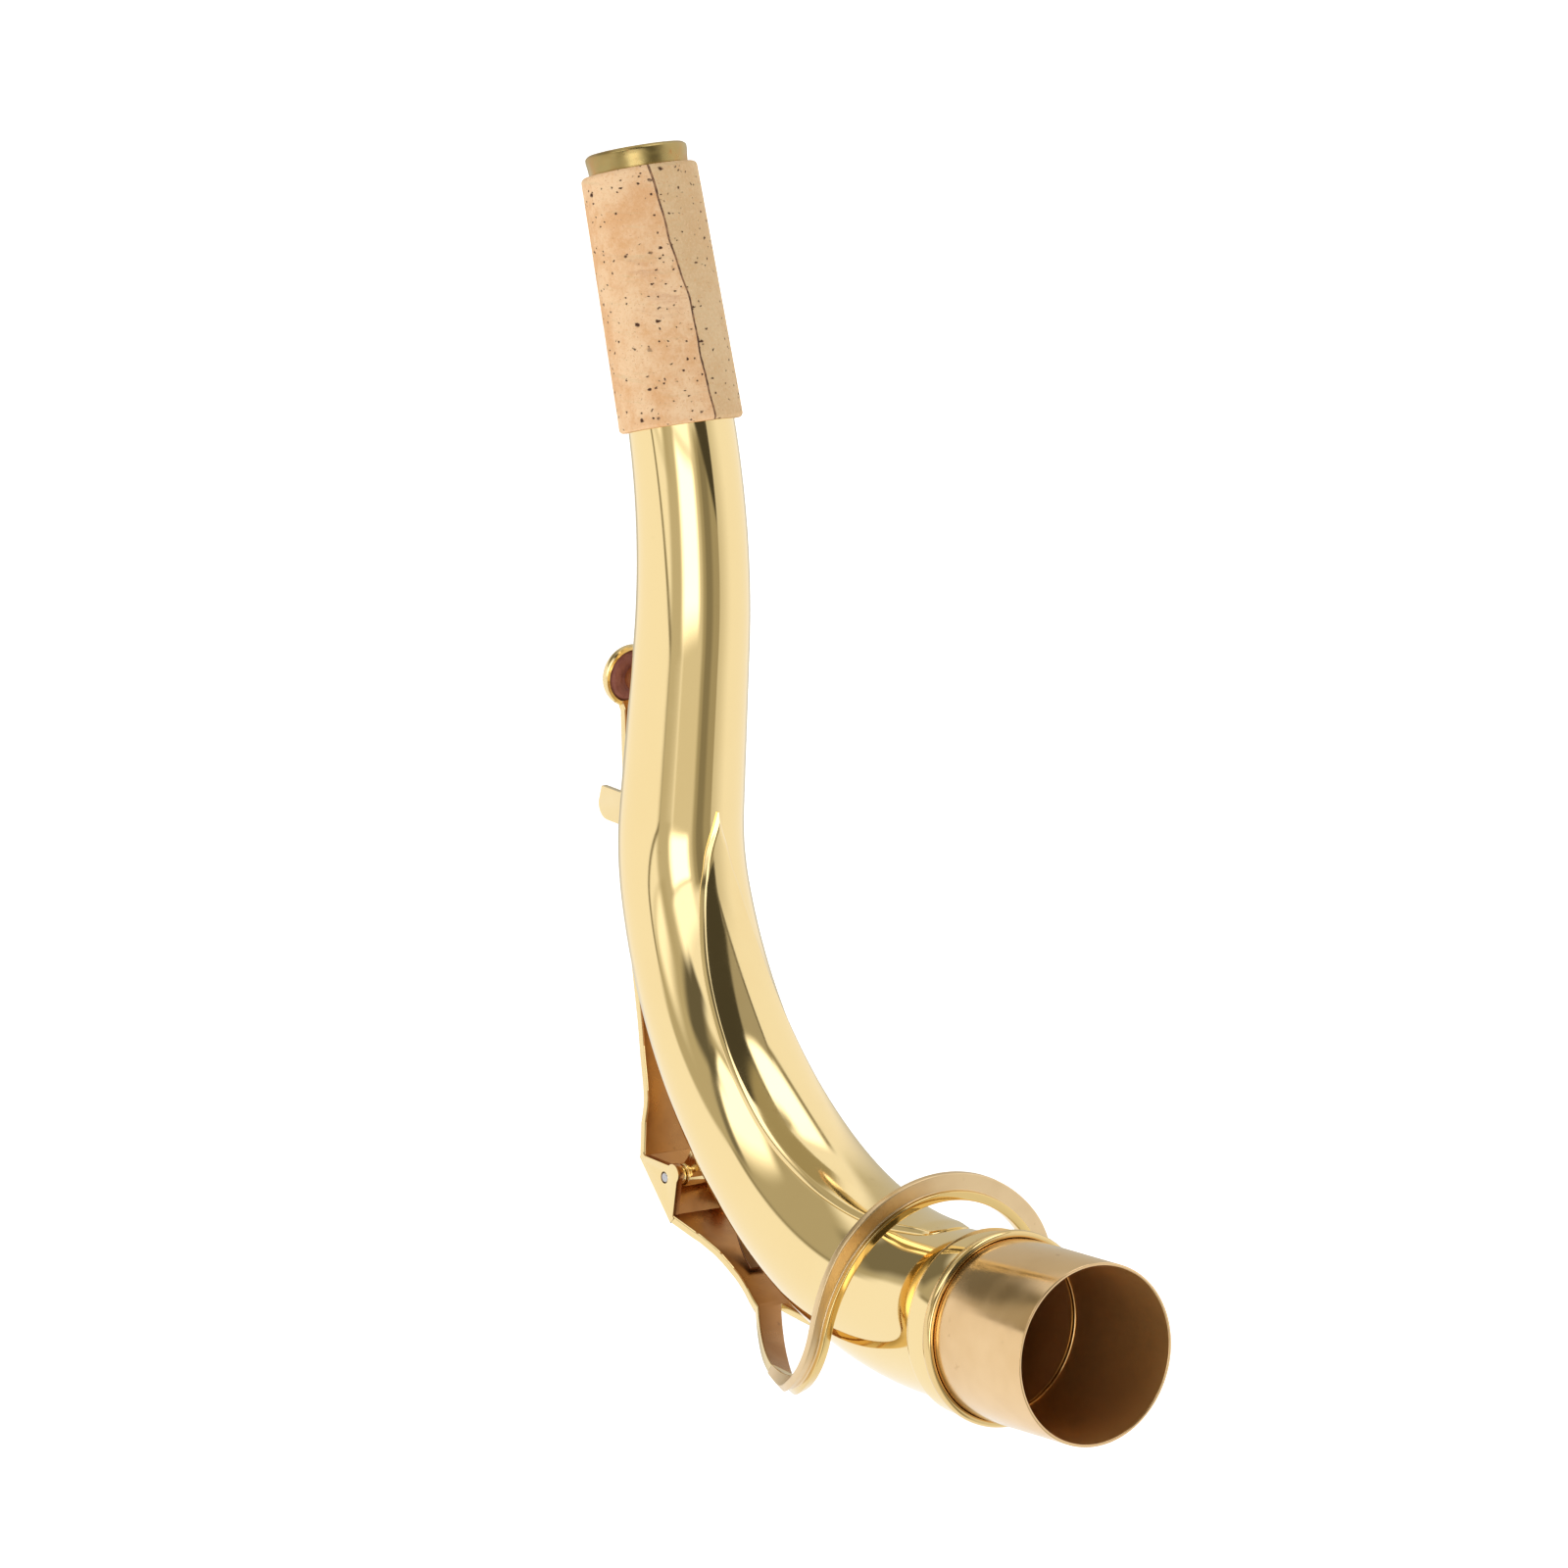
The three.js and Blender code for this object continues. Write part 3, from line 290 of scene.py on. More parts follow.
def spaced(start: float, end: float, count: int) -> list[float]:
    """Evenly spaced numbers, count + 1 of them, both ends included."""
    return [start + (end - start) * i / count for i in range(count + 1)]


def filleted(corners: Sequence[Pair], radius: float, steps: int = 3) -> list[Pair]:
    """Rounds the corners of a closed outline.

    Args:
        corners: The outline's corners.
        radius: How far the rounding reaches along each edge.
        steps: Pieces of each rounded corner.

    Returns:
        The rounded outline.
    """
    rounded: list[Pair] = []
    for i, corner in enumerate(corners):
        here = Vector(corner)
        before = Vector(corners[i - 1]) - here
        after = Vector(corners[(i + 1) % len(corners)]) - here
        reach = min(radius, 0.48 * before.length, 0.48 * after.length)
        start = here + before.normalized() * reach
        end = here + after.normalized() * reach
        for t in spaced(0, 1, steps):
            point = start * (1 - t) ** 2 + here * (2 * t * (1 - t)) + end * t**2
            rounded.append((point.x, point.y))
    return rounded


def box(left: float, low: float, right: float, high: float) -> list[Pair]:
    """A rectangle's four corners, from its lower left one."""
    return [(left, low), (right, low), (right, high), (left, high)]


def bar_section(
    middle: Vector, across: Vector, up: Vector, half: Pair, edge: float
) -> list[Vector]:
    """A flat bar's section, of a half width and half thickness, with softened edges."""
    outline = filleted(box(-half[0], -half[1], half[0], half[1]), edge)
    return [middle + across * a + up * b for a, b in outline]


@dataclass
class Shell:
    """A closed surface in millimetres, with wrap coordinates and a finish number for each face."""

    points: list[Vector] = field(default_factory=list)
    faces: list[tuple[int, ...]] = field(default_factory=list)
    wraps: list[tuple[Pair, ...]] = field(default_factory=list)
    finishes: list[int] = field(default_factory=list)

    @staticmethod
    def swept(
        sections: Sequence[Sequence[Vector]],
        loop: bool = False,
        finish_of: Callable[[int], int] | None = None,
    ) -> "Shell":
        """Joins sections that all have the same number of corners.

        Args:
            sections: The sections, each a closed outline.
            loop: Whether the last section joins the first.
            finish_of: The finish number for each corner's strip of faces.

        Returns:
            A closed shell.
        """
        corners = len(sections[0])
        shell = Shell(points=[p.copy() for section in sections for p in section])
        lengths = [0.0]
        for i in range(1, corners + 1):
            step = (sections[0][i % corners] - sections[0][i - 1]).length
            lengths.append(lengths[-1] + step)
        ways = [0.0]
        for i in range(1, len(sections) + 1):
            step = (sections[i % len(sections)][0] - sections[i - 1][0]).length
            ways.append(ways[-1] + step)
        for i in range(len(sections) if loop else len(sections) - 1):
            after = (i + 1) % len(sections)
            for j in range(corners):
                k = (j + 1) % corners
                face = (i * corners + j, i * corners + k, after * corners + k, after * corners + j)
                shell.faces.append(face)
                u0, u1, v0, v1 = ways[i], ways[i + 1], lengths[j], lengths[j + 1]
                shell.wraps.append(((u0, v0), (u0, v1), (u1, v1), (u1, v0)))
                shell.finishes.append(finish_of(j) if finish_of else 0)
        if not loop:
            base = (len(sections) - 1) * corners
            for face in (tuple(range(corners))[::-1], tuple(range(base, base + corners))):
                shell.faces.append(face)
                shell.wraps.append(tuple((0.0, 0.0) for _ in face))
                shell.finishes.append(0)
        return shell

    @staticmethod
    def turned(
        profile: Sequence[Pair],
        point: Vector,
        way: Vector,
        sides: int = 96,
        finish_of: Callable[[int], int] | None = None,
    ) -> "Shell":
        """A solid of revolution.

        Args:
            profile: A closed outline of (radius, height) corners.
            point: Where height 0 lies on the axis.
            way: The axis.
            sides: How many sections go round.
            finish_of: The finish number for each profile corner's strip of faces.

        Returns:
            A closed shell.
        """
        turn = Vector((0, 0, 1)).rotation_difference(way)
        sections = []
        for i in range(sides):
            angle = FULL_TURN * i / sides
            arm = turn @ Vector((math.cos(angle), math.sin(angle), 0))
            sections.append([point + arm * r + way * h for r, h in profile])
        return Shell.swept(sections, loop=True, finish_of=finish_of)

    @staticmethod
    def extruded(
        outline: Sequence[Pair],
        right: Vector,
        up: Vector,
        origin: Vector,
        low: float,
        high: float,
    ) -> "Shell":
        """A plate with a given outline, standing across the neck.

        Args:
            outline: Its corners, as distances along right and up.
            right: First direction of the outline.
            up: Second direction of the outline.
            origin: Where both distances are 0.
            low: The y at which the plate starts.
            high: The y at which it ends.

        Returns:
            A closed shell.
        """
        sections = []
        for y in (low, high):
            section = [origin + right * u + up * v for u, v in outline]
            for p in section:
                p.y = y
            sections.append(section)
        return Shell.swept(sections)


@dataclass(frozen=True)
class Workshop:
    """Turns shells into Blender meshes. Its distances are in metres, as the meshes are."""

    crease: float = math.radians(38)
    same_point: float = 1e-7
    no_edge: float = 1e-8
    joined_point: float = 2e-6
    flat: float = math.radians(0.8)
    bevel_angle: float = math.radians(40)

    def mesh(self, name: str, shell: Shell) -> Object:
        """Makes an object from a shell.

        Args:
            name: Name of the new object.
            shell: Its surface, in millimetres.

        Returns:
            The object, smooth shaded, with its normals facing out.
        """
        data = bpy.data.meshes.new(name)
        bm = bmesh.new()
        wrap = bm.loops.layers.uv.new("Wrap")
        corners = [bm.verts.new(p * MM) for p in shell.points]
        for face, wraps, finish in zip(shell.faces, shell.wraps, shell.finishes, strict=True):
            made = bm.faces.new([corners[i] for i in face])
            made.material_index = finish
            for loop, place in zip(made.loops, wraps, strict=True):
                loop[wrap].uv = place
        bmesh.ops.remove_doubles(bm, verts=bm.verts, dist=self.same_point)
        bmesh.ops.dissolve_degenerate(bm, edges=bm.edges, dist=self.no_edge)
        bmesh.ops.recalc_face_normals(bm, faces=bm.faces)
        bm.to_mesh(data)
        bm.free()
        piece = bpy.data.objects.new(name, data)
        bpy.context.scene.collection.objects.link(piece)
        self.smooth(piece)
        return piece

    def smooth(self, piece: Object) -> None:
        """Shades a piece smooth, except over its creases."""
        piece.data.shade_smooth()
        piece.data.set_sharp_from_angle(angle=self.crease)

    def _settle(self, piece: Object) -> None:
        """Applies an object's modifiers.

        Args:
            piece: The object.
        """
        bpy.context.view_layer.update()
        graph = bpy.context.evaluated_depsgraph_get()
        data = bpy.data.meshes.new_from_object(piece.evaluated_get(graph))
        old = piece.data
        piece.modifiers.clear()
        piece.data = data
        bpy.data.meshes.remove(old)

    def combined(self, piece: Object, others: Sequence[Object], operation: str = "UNION") -> Object:
        """Joins other objects to a piece, or cuts them out of it, and removes them.

        Args:
            piece: The object that stays.
            others: The objects used up.
            operation: UNION or DIFFERENCE.

        Returns:
            The piece.
        """
        for other in others:
            step = piece.modifiers.new("join", "BOOLEAN")
            step.operation = operation
            step.solver = "EXACT"
            step.object = other
        self._settle(piece)
        for other in others:
            data = other.data
            bpy.data.objects.remove(other)
            bpy.data.meshes.remove(data)
        bm = bmesh.new()
        bm.from_mesh(piece.data)
        bmesh.ops.remove_doubles(bm, verts=bm.verts, dist=self.joined_point)
        bmesh.ops.dissolve_limit(
            bm, angle_limit=self.flat, verts=bm.verts, edges=bm.edges, delimit={"MATERIAL"}
        )
        bm.to_mesh(piece.data)
        bm.free()
        self.smooth(piece)
        return piece

    def bevelled(self, piece: Object, width: float) -> Object:
        """Rounds the sharp edges of a piece.

        Args:
            piece: The object.
            width: Width of the rounding, in millimetres.

        Returns:
            The piece.
        """
        round_over = piece.modifiers.new("round", "BEVEL")
        round_over.width = width * MM
        round_over.segments = 2
        round_over.limit_method = "ANGLE"
        round_over.angle_limit = self.bevel_angle
        round_over.use_clamp_overlap = True
        self._settle(piece)
        self.smooth(piece)
        return piece


WORKSHOP = Workshop()


# ---------------------------------------------------------------------------
# Finishes
# ---------------------------------------------------------------------------


class Nodes:
    """A node tree, with short calls for the nodes that the finishes and the walls share."""

    def __init__(self, tree: NodeTree) -> None:
        """Takes up the nodes of a material or the world."""
        self.tree = tree

    def node(self, kind: str, **settings: object) -> Node:
        """Adds a node.

        Args:
            kind: The node's type name.
            settings: Its properties.

        Returns:
            The node.
        """
        made = self.tree.nodes.new(kind)
        for key, value in settings.items():
            setattr(made, key, value)
        return made

    def link(self, source: NodeSocket, target: NodeSocket) -> None:
        """Links two sockets."""
        self.tree.links.new(source, target)

    def ranged(self, value: NodeSocket, source: Pair, target: Pair) -> NodeSocket:
        """Maps a value from one range to another.

        Args:
            value: The value.
            source: Its low and high ends.
            target: What these become.

        Returns:
            The mapped value.
        """
        made = self.node("ShaderNodeMapRange", interpolation_type="SMOOTHSTEP")
        made.inputs["From Min"].default_value = source[0]
        made.inputs["From Max"].default_value = source[1]
        made.inputs["To Min"].default_value = target[0]
        made.inputs["To Max"].default_value = target[1]
        self.link(value, made.inputs["Value"])
        return made.outputs["Result"]

    def mixed(
        self,
        share: NodeSocket,
        first: Colour | NodeSocket,
        second: Colour | NodeSocket,
    ) -> NodeSocket:
        """Mixes two colours.

        Args:
            share: How much of the second there is.
            first: The first colour.
            second: The second colour.

        Returns:
            The mix.
        """
        made = self.node("ShaderNodeMix", data_type="RGBA")
        self.link(share, made.inputs["Factor"])
        for key, colour in (("A", first), ("B", second)):
            socket = next(s for s in made.inputs if s.name == key and s.type == "RGBA")
            if isinstance(colour, tuple):
                socket.default_value = (*colour, 1.0)
            else:
                self.link(colour, socket)
        return next(s for s in made.outputs if s.type == "RGBA")

    def maths(
        self,
        operation: str,
        first: NodeSocket | float,
        second: NodeSocket | float = 0.0,
    ) -> NodeSocket:
        """One sum of two numbers.

        Args:
            operation: Blender's name of the operation.
            first: First number.
            second: Second number.

        Returns:
            The result.
        """
        made = self.node("ShaderNodeMath", operation=operation)
        for socket, value in zip(made.inputs, (first, second), strict=False):
            if isinstance(value, (int, float)):
                socket.default_value = value
            else:
                self.link(value, socket)
        return made.outputs["Value"]


class Sheet(Nodes):
    """A material's node sheet."""

    def __init__(self, name: str) -> None:
        """Starts an empty material with one surface shader.

        Args:
            name: Name of the material.
        """
        self.material = bpy.data.materials.new(name)
        self.material.use_nodes = True
        super().__init__(self.material.node_tree)
        self.shader = self.tree.nodes["Principled BSDF"]
        self.place = self.node("ShaderNodeTexCoord")

    def mapped(self, scale: Triple = (1.0, 1.0, 1.0)) -> NodeSocket:
        """The frame's coordinates, in metres, stretched by a scale.

        Args:
            scale: Scale along each axis.

        Returns:
            The stretched coordinates.
        """
        mapping = self.node("ShaderNodeMapping")
        mapping.inputs["Scale"].default_value = scale
        self.link(self.place.outputs["Object"], mapping.inputs["Vector"])
        return mapping.outputs["Vector"]

    def noise(
        self,
        place: NodeSocket,
        scale: float,
        detail: float = 3.0,
        roughness: float = 0.55,
    ) -> NodeSocket:
        """Noise from 0 to 1.

        Args:
            place: Texture coordinates.
            scale: Features per unit of the coordinates.
            detail: Octaves.
            roughness: Share of the finer octaves.

        Returns:
            The noise.
        """
        made = self.node("ShaderNodeTexNoise")
        made.inputs["Scale"].default_value = scale
        made.inputs["Detail"].default_value = detail
        made.inputs["Roughness"].default_value = roughness
        self.link(place, made.inputs["Vector"])
        return made.outputs["Fac"]

    def bump(
        self,
        height: NodeSocket,
        distance: float,
        strength: float = 1.0,
        below: NodeSocket | None = None,
    ) -> NodeSocket:
        """Relief from a height.

        Args:
            height: The height, from 0 to 1.
            distance: What 1 stands for, in millimetres.
            strength: Share of the relief.
            below: Normal that it goes on top of.

        Returns:
            The normal.
        """
        made = self.node("ShaderNodeBump")
        made.inputs["Distance"].default_value = distance * MM
        made.inputs["Strength"].default_value = strength
        self.link(height, made.inputs["Height"])
        if below is not None:
            self.link(below, made.inputs["Normal"])
        return made.outputs["Normal"]

    def surface(self, **sockets: object) -> None:
        """Sets or links the surface shader's sockets.

        Args:
            sockets: Socket names, with underscores for spaces, and their values or sources.
        """
        for key, value in sockets.items():
            socket = self.shader.inputs[key.replace("_", " ")]
            if isinstance(value, NodeSocket):
                self.link(value, socket)
            elif isinstance(value, tuple):
                socket.default_value = (*value, 1.0)
            else:
                socket.default_value = value


@dataclass(frozen=True)
class BrassFinish:
    """Brass with hairline scratches, faint toning and, where it is lacquered, a clear coat."""

    name: str
    colour: Colour = (0.92, 0.72, 0.365)
    toned: Colour = (0.86, 0.62, 0.27)
    roughness: Pair = (0.09, 0.17)
    wear: Wear = Wear.USED
    lacquer: float = 0.35
    grain: Triple = (1.0, 1.0, 1.0)
    brushing: float = 0.0
    ripple: float = 0.01
    metal: float = 1.0
    tone_scale: float = 55.0
    tone_share: float = 0.55
    fleck_share: float = 0.5
    fleck_scale: float = 420.0
    fleck_shade: float = 0.8
    smear_scale: float = 160.0
    wave_scale: float = 95.0
    hair_grain: Triple = (90.0, 700.0, 2600.0)
    hair_depth: float = 0.0012
    coat_roughness: float = 0.04

    def build(self) -> Material:
        """Makes the material.

        Returns:
            The material.
        """
        sheet = Sheet(self.name)
        place = sheet.mapped()
        toning = sheet.noise(place, self.tone_scale, 4.0, 0.6)
        spots = sheet.noise(place, self.fleck_scale, 2.0, 0.5)
        tone = sheet.ranged(toning, (0.42, 0.78), (0.0, self.tone_share * self.wear.value))
        fleck = sheet.ranged(spots, (0.70, 0.80), (0.0, self.fleck_share * self.wear.value))
        colour = sheet.mixed(tone, self.colour, self.toned)
        colour = sheet.mixed(fleck, colour, tuple(self.fleck_shade * c for c in self.toned))
        smear = sheet.noise(place, self.smear_scale, 3.0, 0.6)
        roughness = sheet.ranged(smear, (0.35, 0.75), self.roughness)
        lines = sheet.noise(sheet.mapped(self.hair_grain), 1.0, 2.0, 0.5)
        waves = sheet.noise(place, self.wave_scale, 1.0, 0.4)
        normal = sheet.bump(waves, self.ripple, 0.6)
        normal = sheet.bump(lines, self.hair_depth * self.wear.value, 0.8, normal)
        if self.brushing:
            strokes = sheet.noise(sheet.mapped(self.grain), 1.0, 3.0, 0.6)
            normal = sheet.bump(strokes, self.brushing, 1.0, normal)
        sheet.surface(
            Base_Color=colour,
            Metallic=self.metal,
            Roughness=roughness,
            Normal=normal,
            Coat_Weight=self.lacquer,
            Coat_Roughness=self.coat_roughness,
        )
        return sheet.material


@dataclass(frozen=True)
class PoreKind:
    """One kind of the cork's pores: how close, how many and how large they are."""

    scale: Triple
    chosen: Pair
    size: Pair


@dataclass(frozen=True)
class CorkFinish:
    """Natural sheet cork: pale bark with grain, growth lines and pores, greyer beyond the seam."""

    seam_place: float
    name: str = "sheet_cork"
    pale: Colour = (0.86, 0.60, 0.37)
    warm: Colour = (0.72, 0.38, 0.17)
    rosy: Colour = (0.55, 0.26, 0.15)
    grey: Colour = (0.62, 0.47, 0.27)
    pore: Colour = (0.09, 0.04, 0.025)
    grey_share: float = 0.62
    grey_fade: Pair = (9.0, 25.0)
    pore_bend: float = 0.0009
    relief: float = 0.22
    fine: PoreKind = PoreKind((1000.0, 1000.0, 1300.0), (0.6, 0.64), (0.1, 0.24))
    coarse: PoreKind = PoreKind((380.0, 380.0, 640.0), (0.62, 0.66), (0.1, 0.2))
    fleck: PoreKind = PoreKind((1900.0, 1900.0, 2600.0), (0.74, 0.78), (0.12, 0.3))

    def _pores(self, sheet: Sheet, source: Node, kind: PoreKind) -> NodeSocket:
        """Scattered pores, each in a cell of its own.

        Args:
            sheet: The node sheet.
            source: The node that gives the coordinates.
            kind: The kind of pores: the scale of the coordinates at one cell to a unit, the range
                of a cell's random number in which its pore appears, and the distances from the
                cell's middle between which the pore fades.

        Returns:
            1 in a pore and 0 outside.
        """
        place = sheet.node("ShaderNodeVectorMath", operation="MULTIPLY")
        place.inputs[1].default_value = kind.scale
        sheet.link(source.outputs["Vector"], place.inputs[0])
        cells = sheet.node("ShaderNodeTexVoronoi")
        cells.inputs["Scale"].default_value = 1.0
        sheet.link(place.outputs["Vector"], cells.inputs["Vector"])
        hole = sheet.ranged(cells.outputs["Distance"], kind.size, (1.0, 0.0))
        dice = sheet.node("ShaderNodeSeparateColor")
        sheet.link(cells.outputs["Color"], dice.inputs["Color"])
        there = sheet.ranged(dice.outputs["Red"], kind.chosen, (0.0, 1.0))
        return sheet.maths("MULTIPLY", hole, there)

    def build(self) -> Material:
        """Makes the material.

        Returns:
            The material.
        """
        sheet = Sheet(self.name)
        place = sheet.mapped()
        mottle = sheet.noise(place, 150.0, 4.0, 0.7)
        blush = sheet.noise(sheet.mapped((70.0, 70.0, 330.0)), 1.0, 5.0, 0.65)
        bands = sheet.noise(sheet.mapped((90.0, 90.0, 900.0)), 1.0, 4.0, 0.7)
        grains = sheet.noise(place, 2300.0, 3.0, 0.75)
        colour = sheet.mixed(sheet.ranged(mottle, (0.36, 0.66), (0.0, 0.75)), self.pale, self.warm)
        colour = sheet.mixed(sheet.ranged(blush, (0.58, 0.74), (0.0, 0.55)), colour, self.rosy)
        split = sheet.node("ShaderNodeSeparateXYZ")
        sheet.link(sheet.place.outputs["UV"], split.inputs["Vector"])
        round_cork = split.outputs["X"]
        seam = self.seam_place
        beyond = sheet.ranged(round_cork, (seam, seam + 0.5), (0.0, self.grey_share))
        fade = (seam + self.grey_fade[0], seam + self.grey_fade[1])
        fading = sheet.ranged(round_cork, fade, (1.0, 0.0))
        colour = sheet.mixed(sheet.maths("MULTIPLY", beyond, fading), colour, self.grey)
        colour = sheet.mixed(sheet.ranged(bands, (0.55, 0.72), (0.0, 0.35)), colour, self.grey)
        colour = sheet.mixed(sheet.ranged(grains, (0.5, 0.72), (0.0, 0.5)), colour, self.warm)
        colour = sheet.mixed(sheet.ranged(grains, (0.5, 0.3), (0.0, 0.4)), colour, self.pale)
        warp = sheet.node("ShaderNodeTexNoise")
        warp.inputs["Scale"].default_value = 1100.0
        sheet.link(place, warp.inputs["Vector"])
        shift = sheet.node("ShaderNodeVectorMath", operation="SCALE")
        shift.inputs["Scale"].default_value = self.pore_bend
        sheet.link(warp.outputs["Color"], shift.inputs["Vector"])
        bent = sheet.node("ShaderNodeVectorMath", operation="ADD")
        sheet.link(sheet.place.outputs["Object"], bent.inputs[0])
        sheet.link(shift.outputs["Vector"], bent.inputs[1])
        fine, coarse, flecks = (
            self._pores(sheet, bent, kind) for kind in (self.fine, self.coarse, self.fleck)
        )
        pits = sheet.maths("MAXIMUM", fine, coarse)
        colour = sheet.mixed(sheet.maths("MULTIPLY", flecks, 0.6), colour, self.rosy)
        colour = sheet.mixed(pits, colour, self.pore)
        relief = sheet.maths("SUBTRACT", sheet.maths("MULTIPLY", grains, 0.35), pits)
        normal = sheet.bump(relief, self.relief)
        sheet.surface(Base_Color=colour, Roughness=0.88, Normal=normal, Specular_IOR_Level=0.2)
        return sheet.material


@dataclass(frozen=True)
class SeamFinish:
    """Dried glue in the cork's seam."""

    name: str = "seam_glue"
    colour: Colour = (0.12, 0.055, 0.03)
    rubbed: Colour = (0.36, 0.19, 0.1)

    def build(self) -> Material:
        """Makes the material.

        Returns:
            The material.
        """
        sheet = Sheet(self.name)
        crumbs = sheet.noise(sheet.mapped(), 900.0, 3.0, 0.6)
        worn = sheet.ranged(crumbs, (0.4, 0.65), (0.0, 1.0))
        colour = sheet.mixed(worn, self.colour, self.rubbed)
        sheet.surface(Base_Color=colour, Roughness=0.7, Normal=sheet.bump(crumbs, 0.06))
        return sheet.material


@dataclass(frozen=True)
class LeatherFinish:
    """Smooth reddish-brown pad leather with fine creases."""

    name: str = "pad_leather"
    colour: Colour = (0.24, 0.065, 0.045)
    worn: Colour = (0.36, 0.125, 0.09)

    def build(self) -> Material:
        """Makes the material.

        Returns:
            The material.
        """
        sheet = Sheet(self.name)
        place = sheet.mapped()
        grain = sheet.node("ShaderNodeTexVoronoi", feature="DISTANCE_TO_EDGE")
        grain.inputs["Scale"].default_value = 3400.0
        sheet.link(place, grain.inputs["Vector"])
        creases = sheet.ranged(grain.outputs["Distance"], (0.0, 0.18), (0.0, 1.0))
        rubbed = sheet.noise(place, 500.0, 3.0, 0.6)
        colour = sheet.mixed(sheet.ranged(rubbed, (0.4, 0.7), (0.0, 0.8)), self.colour, self.worn)
        sheet.surface(
            Base_Color=colour,
            Roughness=sheet.ranged(rubbed, (0.3, 0.7), (0.42, 0.62)),
            Normal=sheet.bump(creases, 0.03, 0.8),
            Sheen_Weight=0.1,
        )
        return sheet.material


@dataclass(frozen=True)
class SteelFinish:
    """Steel with polishing lines."""

    name: str
    colour: Colour
    toned: Colour
    roughness: Pair = (0.16, 0.3)
    polish_grain: Triple = (400.0, 9000.0, 400.0)

    def build(self) -> Material:
        """Makes the material.

        Returns:
            The material.
        """
        sheet = Sheet(self.name)
        place = sheet.mapped()
        cloud = sheet.noise(place, 700.0, 3.0, 0.6)
        lines = sheet.noise(sheet.mapped(self.polish_grain), 1.0, 2.0, 0.5)
        sheet.surface(
            Base_Color=sheet.mixed(cloud, self.colour, self.toned),
            Metallic=1.0,
            Roughness=sheet.ranged(cloud, (0.3, 0.7), self.roughness),
            Normal=sheet.bump(lines, 0.002),
        )
        return sheet.material


@dataclass(frozen=True)
class StudioFloorFinish:
    """Plain pale floor paper."""

    name: str = "floor_paper"
    colour: Colour = (0.93, 0.93, 0.93)
    glow: float = 0.5

    def build(self) -> Material:
        """Makes the material.

        Returns:
            The material.
        """
        sheet = Sheet(self.name)
        sheet.surface(
            Base_Color=self.colour,
            Roughness=0.9,
            Emission_Color=(1.0, 1.0, 1.0),
            Emission_Strength=self.glow,
        )
        return sheet.material


class Finishes:
    """All the finishes of the neck."""

    def __init__(self, cork_seam_place: float) -> None:
        """Makes the materials.

        Args:
            cork_seam_place: How far round the cork its seam lies, in its wrap coordinates.
        """
        self.polished = BrassFinish(
            "lacquered_brass", roughness=(0.035, 0.08), wear=Wear.FRESH
        ).build()
        self.leaf = BrassFinish("leaf_brass", roughness=(0.07, 0.13)).build()
        self.key = BrassFinish("key_brass", roughness=(0.12, 0.22)).build()
        self.bead = BrassFinish(
            "bead_brass", (0.84, 0.62, 0.29), (0.62, 0.40, 0.15), (0.1, 0.18), lacquer=0.2
        ).build()
        self.hoop = BrassFinish(
            "hoop_brass", (0.82, 0.60, 0.25), (0.60, 0.37, 0.12), (0.08, 0.15), lacquer=0.2
        ).build()
        # painted shade: a darker, duller brass for the key's faces that look at the tube, standing
        # in for the shade and dim reflections under the key
        self.underside = BrassFinish(
            "painted_shade_underside_brass",
            (0.46, 0.22, 0.075),
            (0.28, 0.125, 0.05),
            (0.24, 0.4),
            Wear.DULL,
            lacquer=0.06,
            tone_scale=120.0,
            ripple=0.02,
        ).build()
        self.brushed = BrassFinish(
            "brushed_brass",
            (0.84, 0.63, 0.37),
            (0.70, 0.48, 0.25),
            (0.28, 0.42),
            Wear.DULL,
            lacquer=0.15,
            grain=(1500.0, 1500.0, 1500.0),
            brushing=0.012,
        ).build()
        self.satin = BrassFinish(
            "satin_brass",
            (0.86, 0.61, 0.34),
            (0.66, 0.41, 0.17),
            (0.13, 0.23),
            Wear.DULL,
            lacquer=0.1,
            grain=(5200.0, 160.0, 160.0),
            brushing=0.003,
            tone_scale=34.0,
        ).build()
        # the bore's bare unlacquered brass, its darkness and lowered metalness partly painted shade
        # inside the tube
        self.inside = BrassFinish(
            "bore_brass_painted_shade",
            (0.78, 0.44, 0.15),
            (0.56, 0.28, 0.085),
            (0.28, 0.38),
            lacquer=0.0,
            grain=(150.0, 2200.0, 2200.0),
            brushing=0.003,
            metal=0.75,
            fleck_share=0.08,
        ).build()
        self.tarnished = BrassFinish(
            "tarnished_brass",
            (0.46, 0.35, 0.14),
            (0.60, 0.25, 0.07),
            (0.26, 0.48),
            Wear.DULL,
            lacquer=0.0,
            grain=(900.0, 900.0, 2400.0),
            brushing=0.02,
            tone_scale=210.0,
            fleck_share=0.9,
        ).build()
        self.cork = CorkFinish(cork_seam_place).build()
        self.seam = SeamFinish().build()
        self.leather = LeatherFinish().build()
        blued = SteelFinish("tempered_steel", (0.22, 0.12, 0.06), (0.14, 0.08, 0.06))
        self.tempered = blued.build()
        self.steel = SteelFinish("polished_steel", (0.62, 0.62, 0.64), (0.5, 0.5, 0.52)).build()


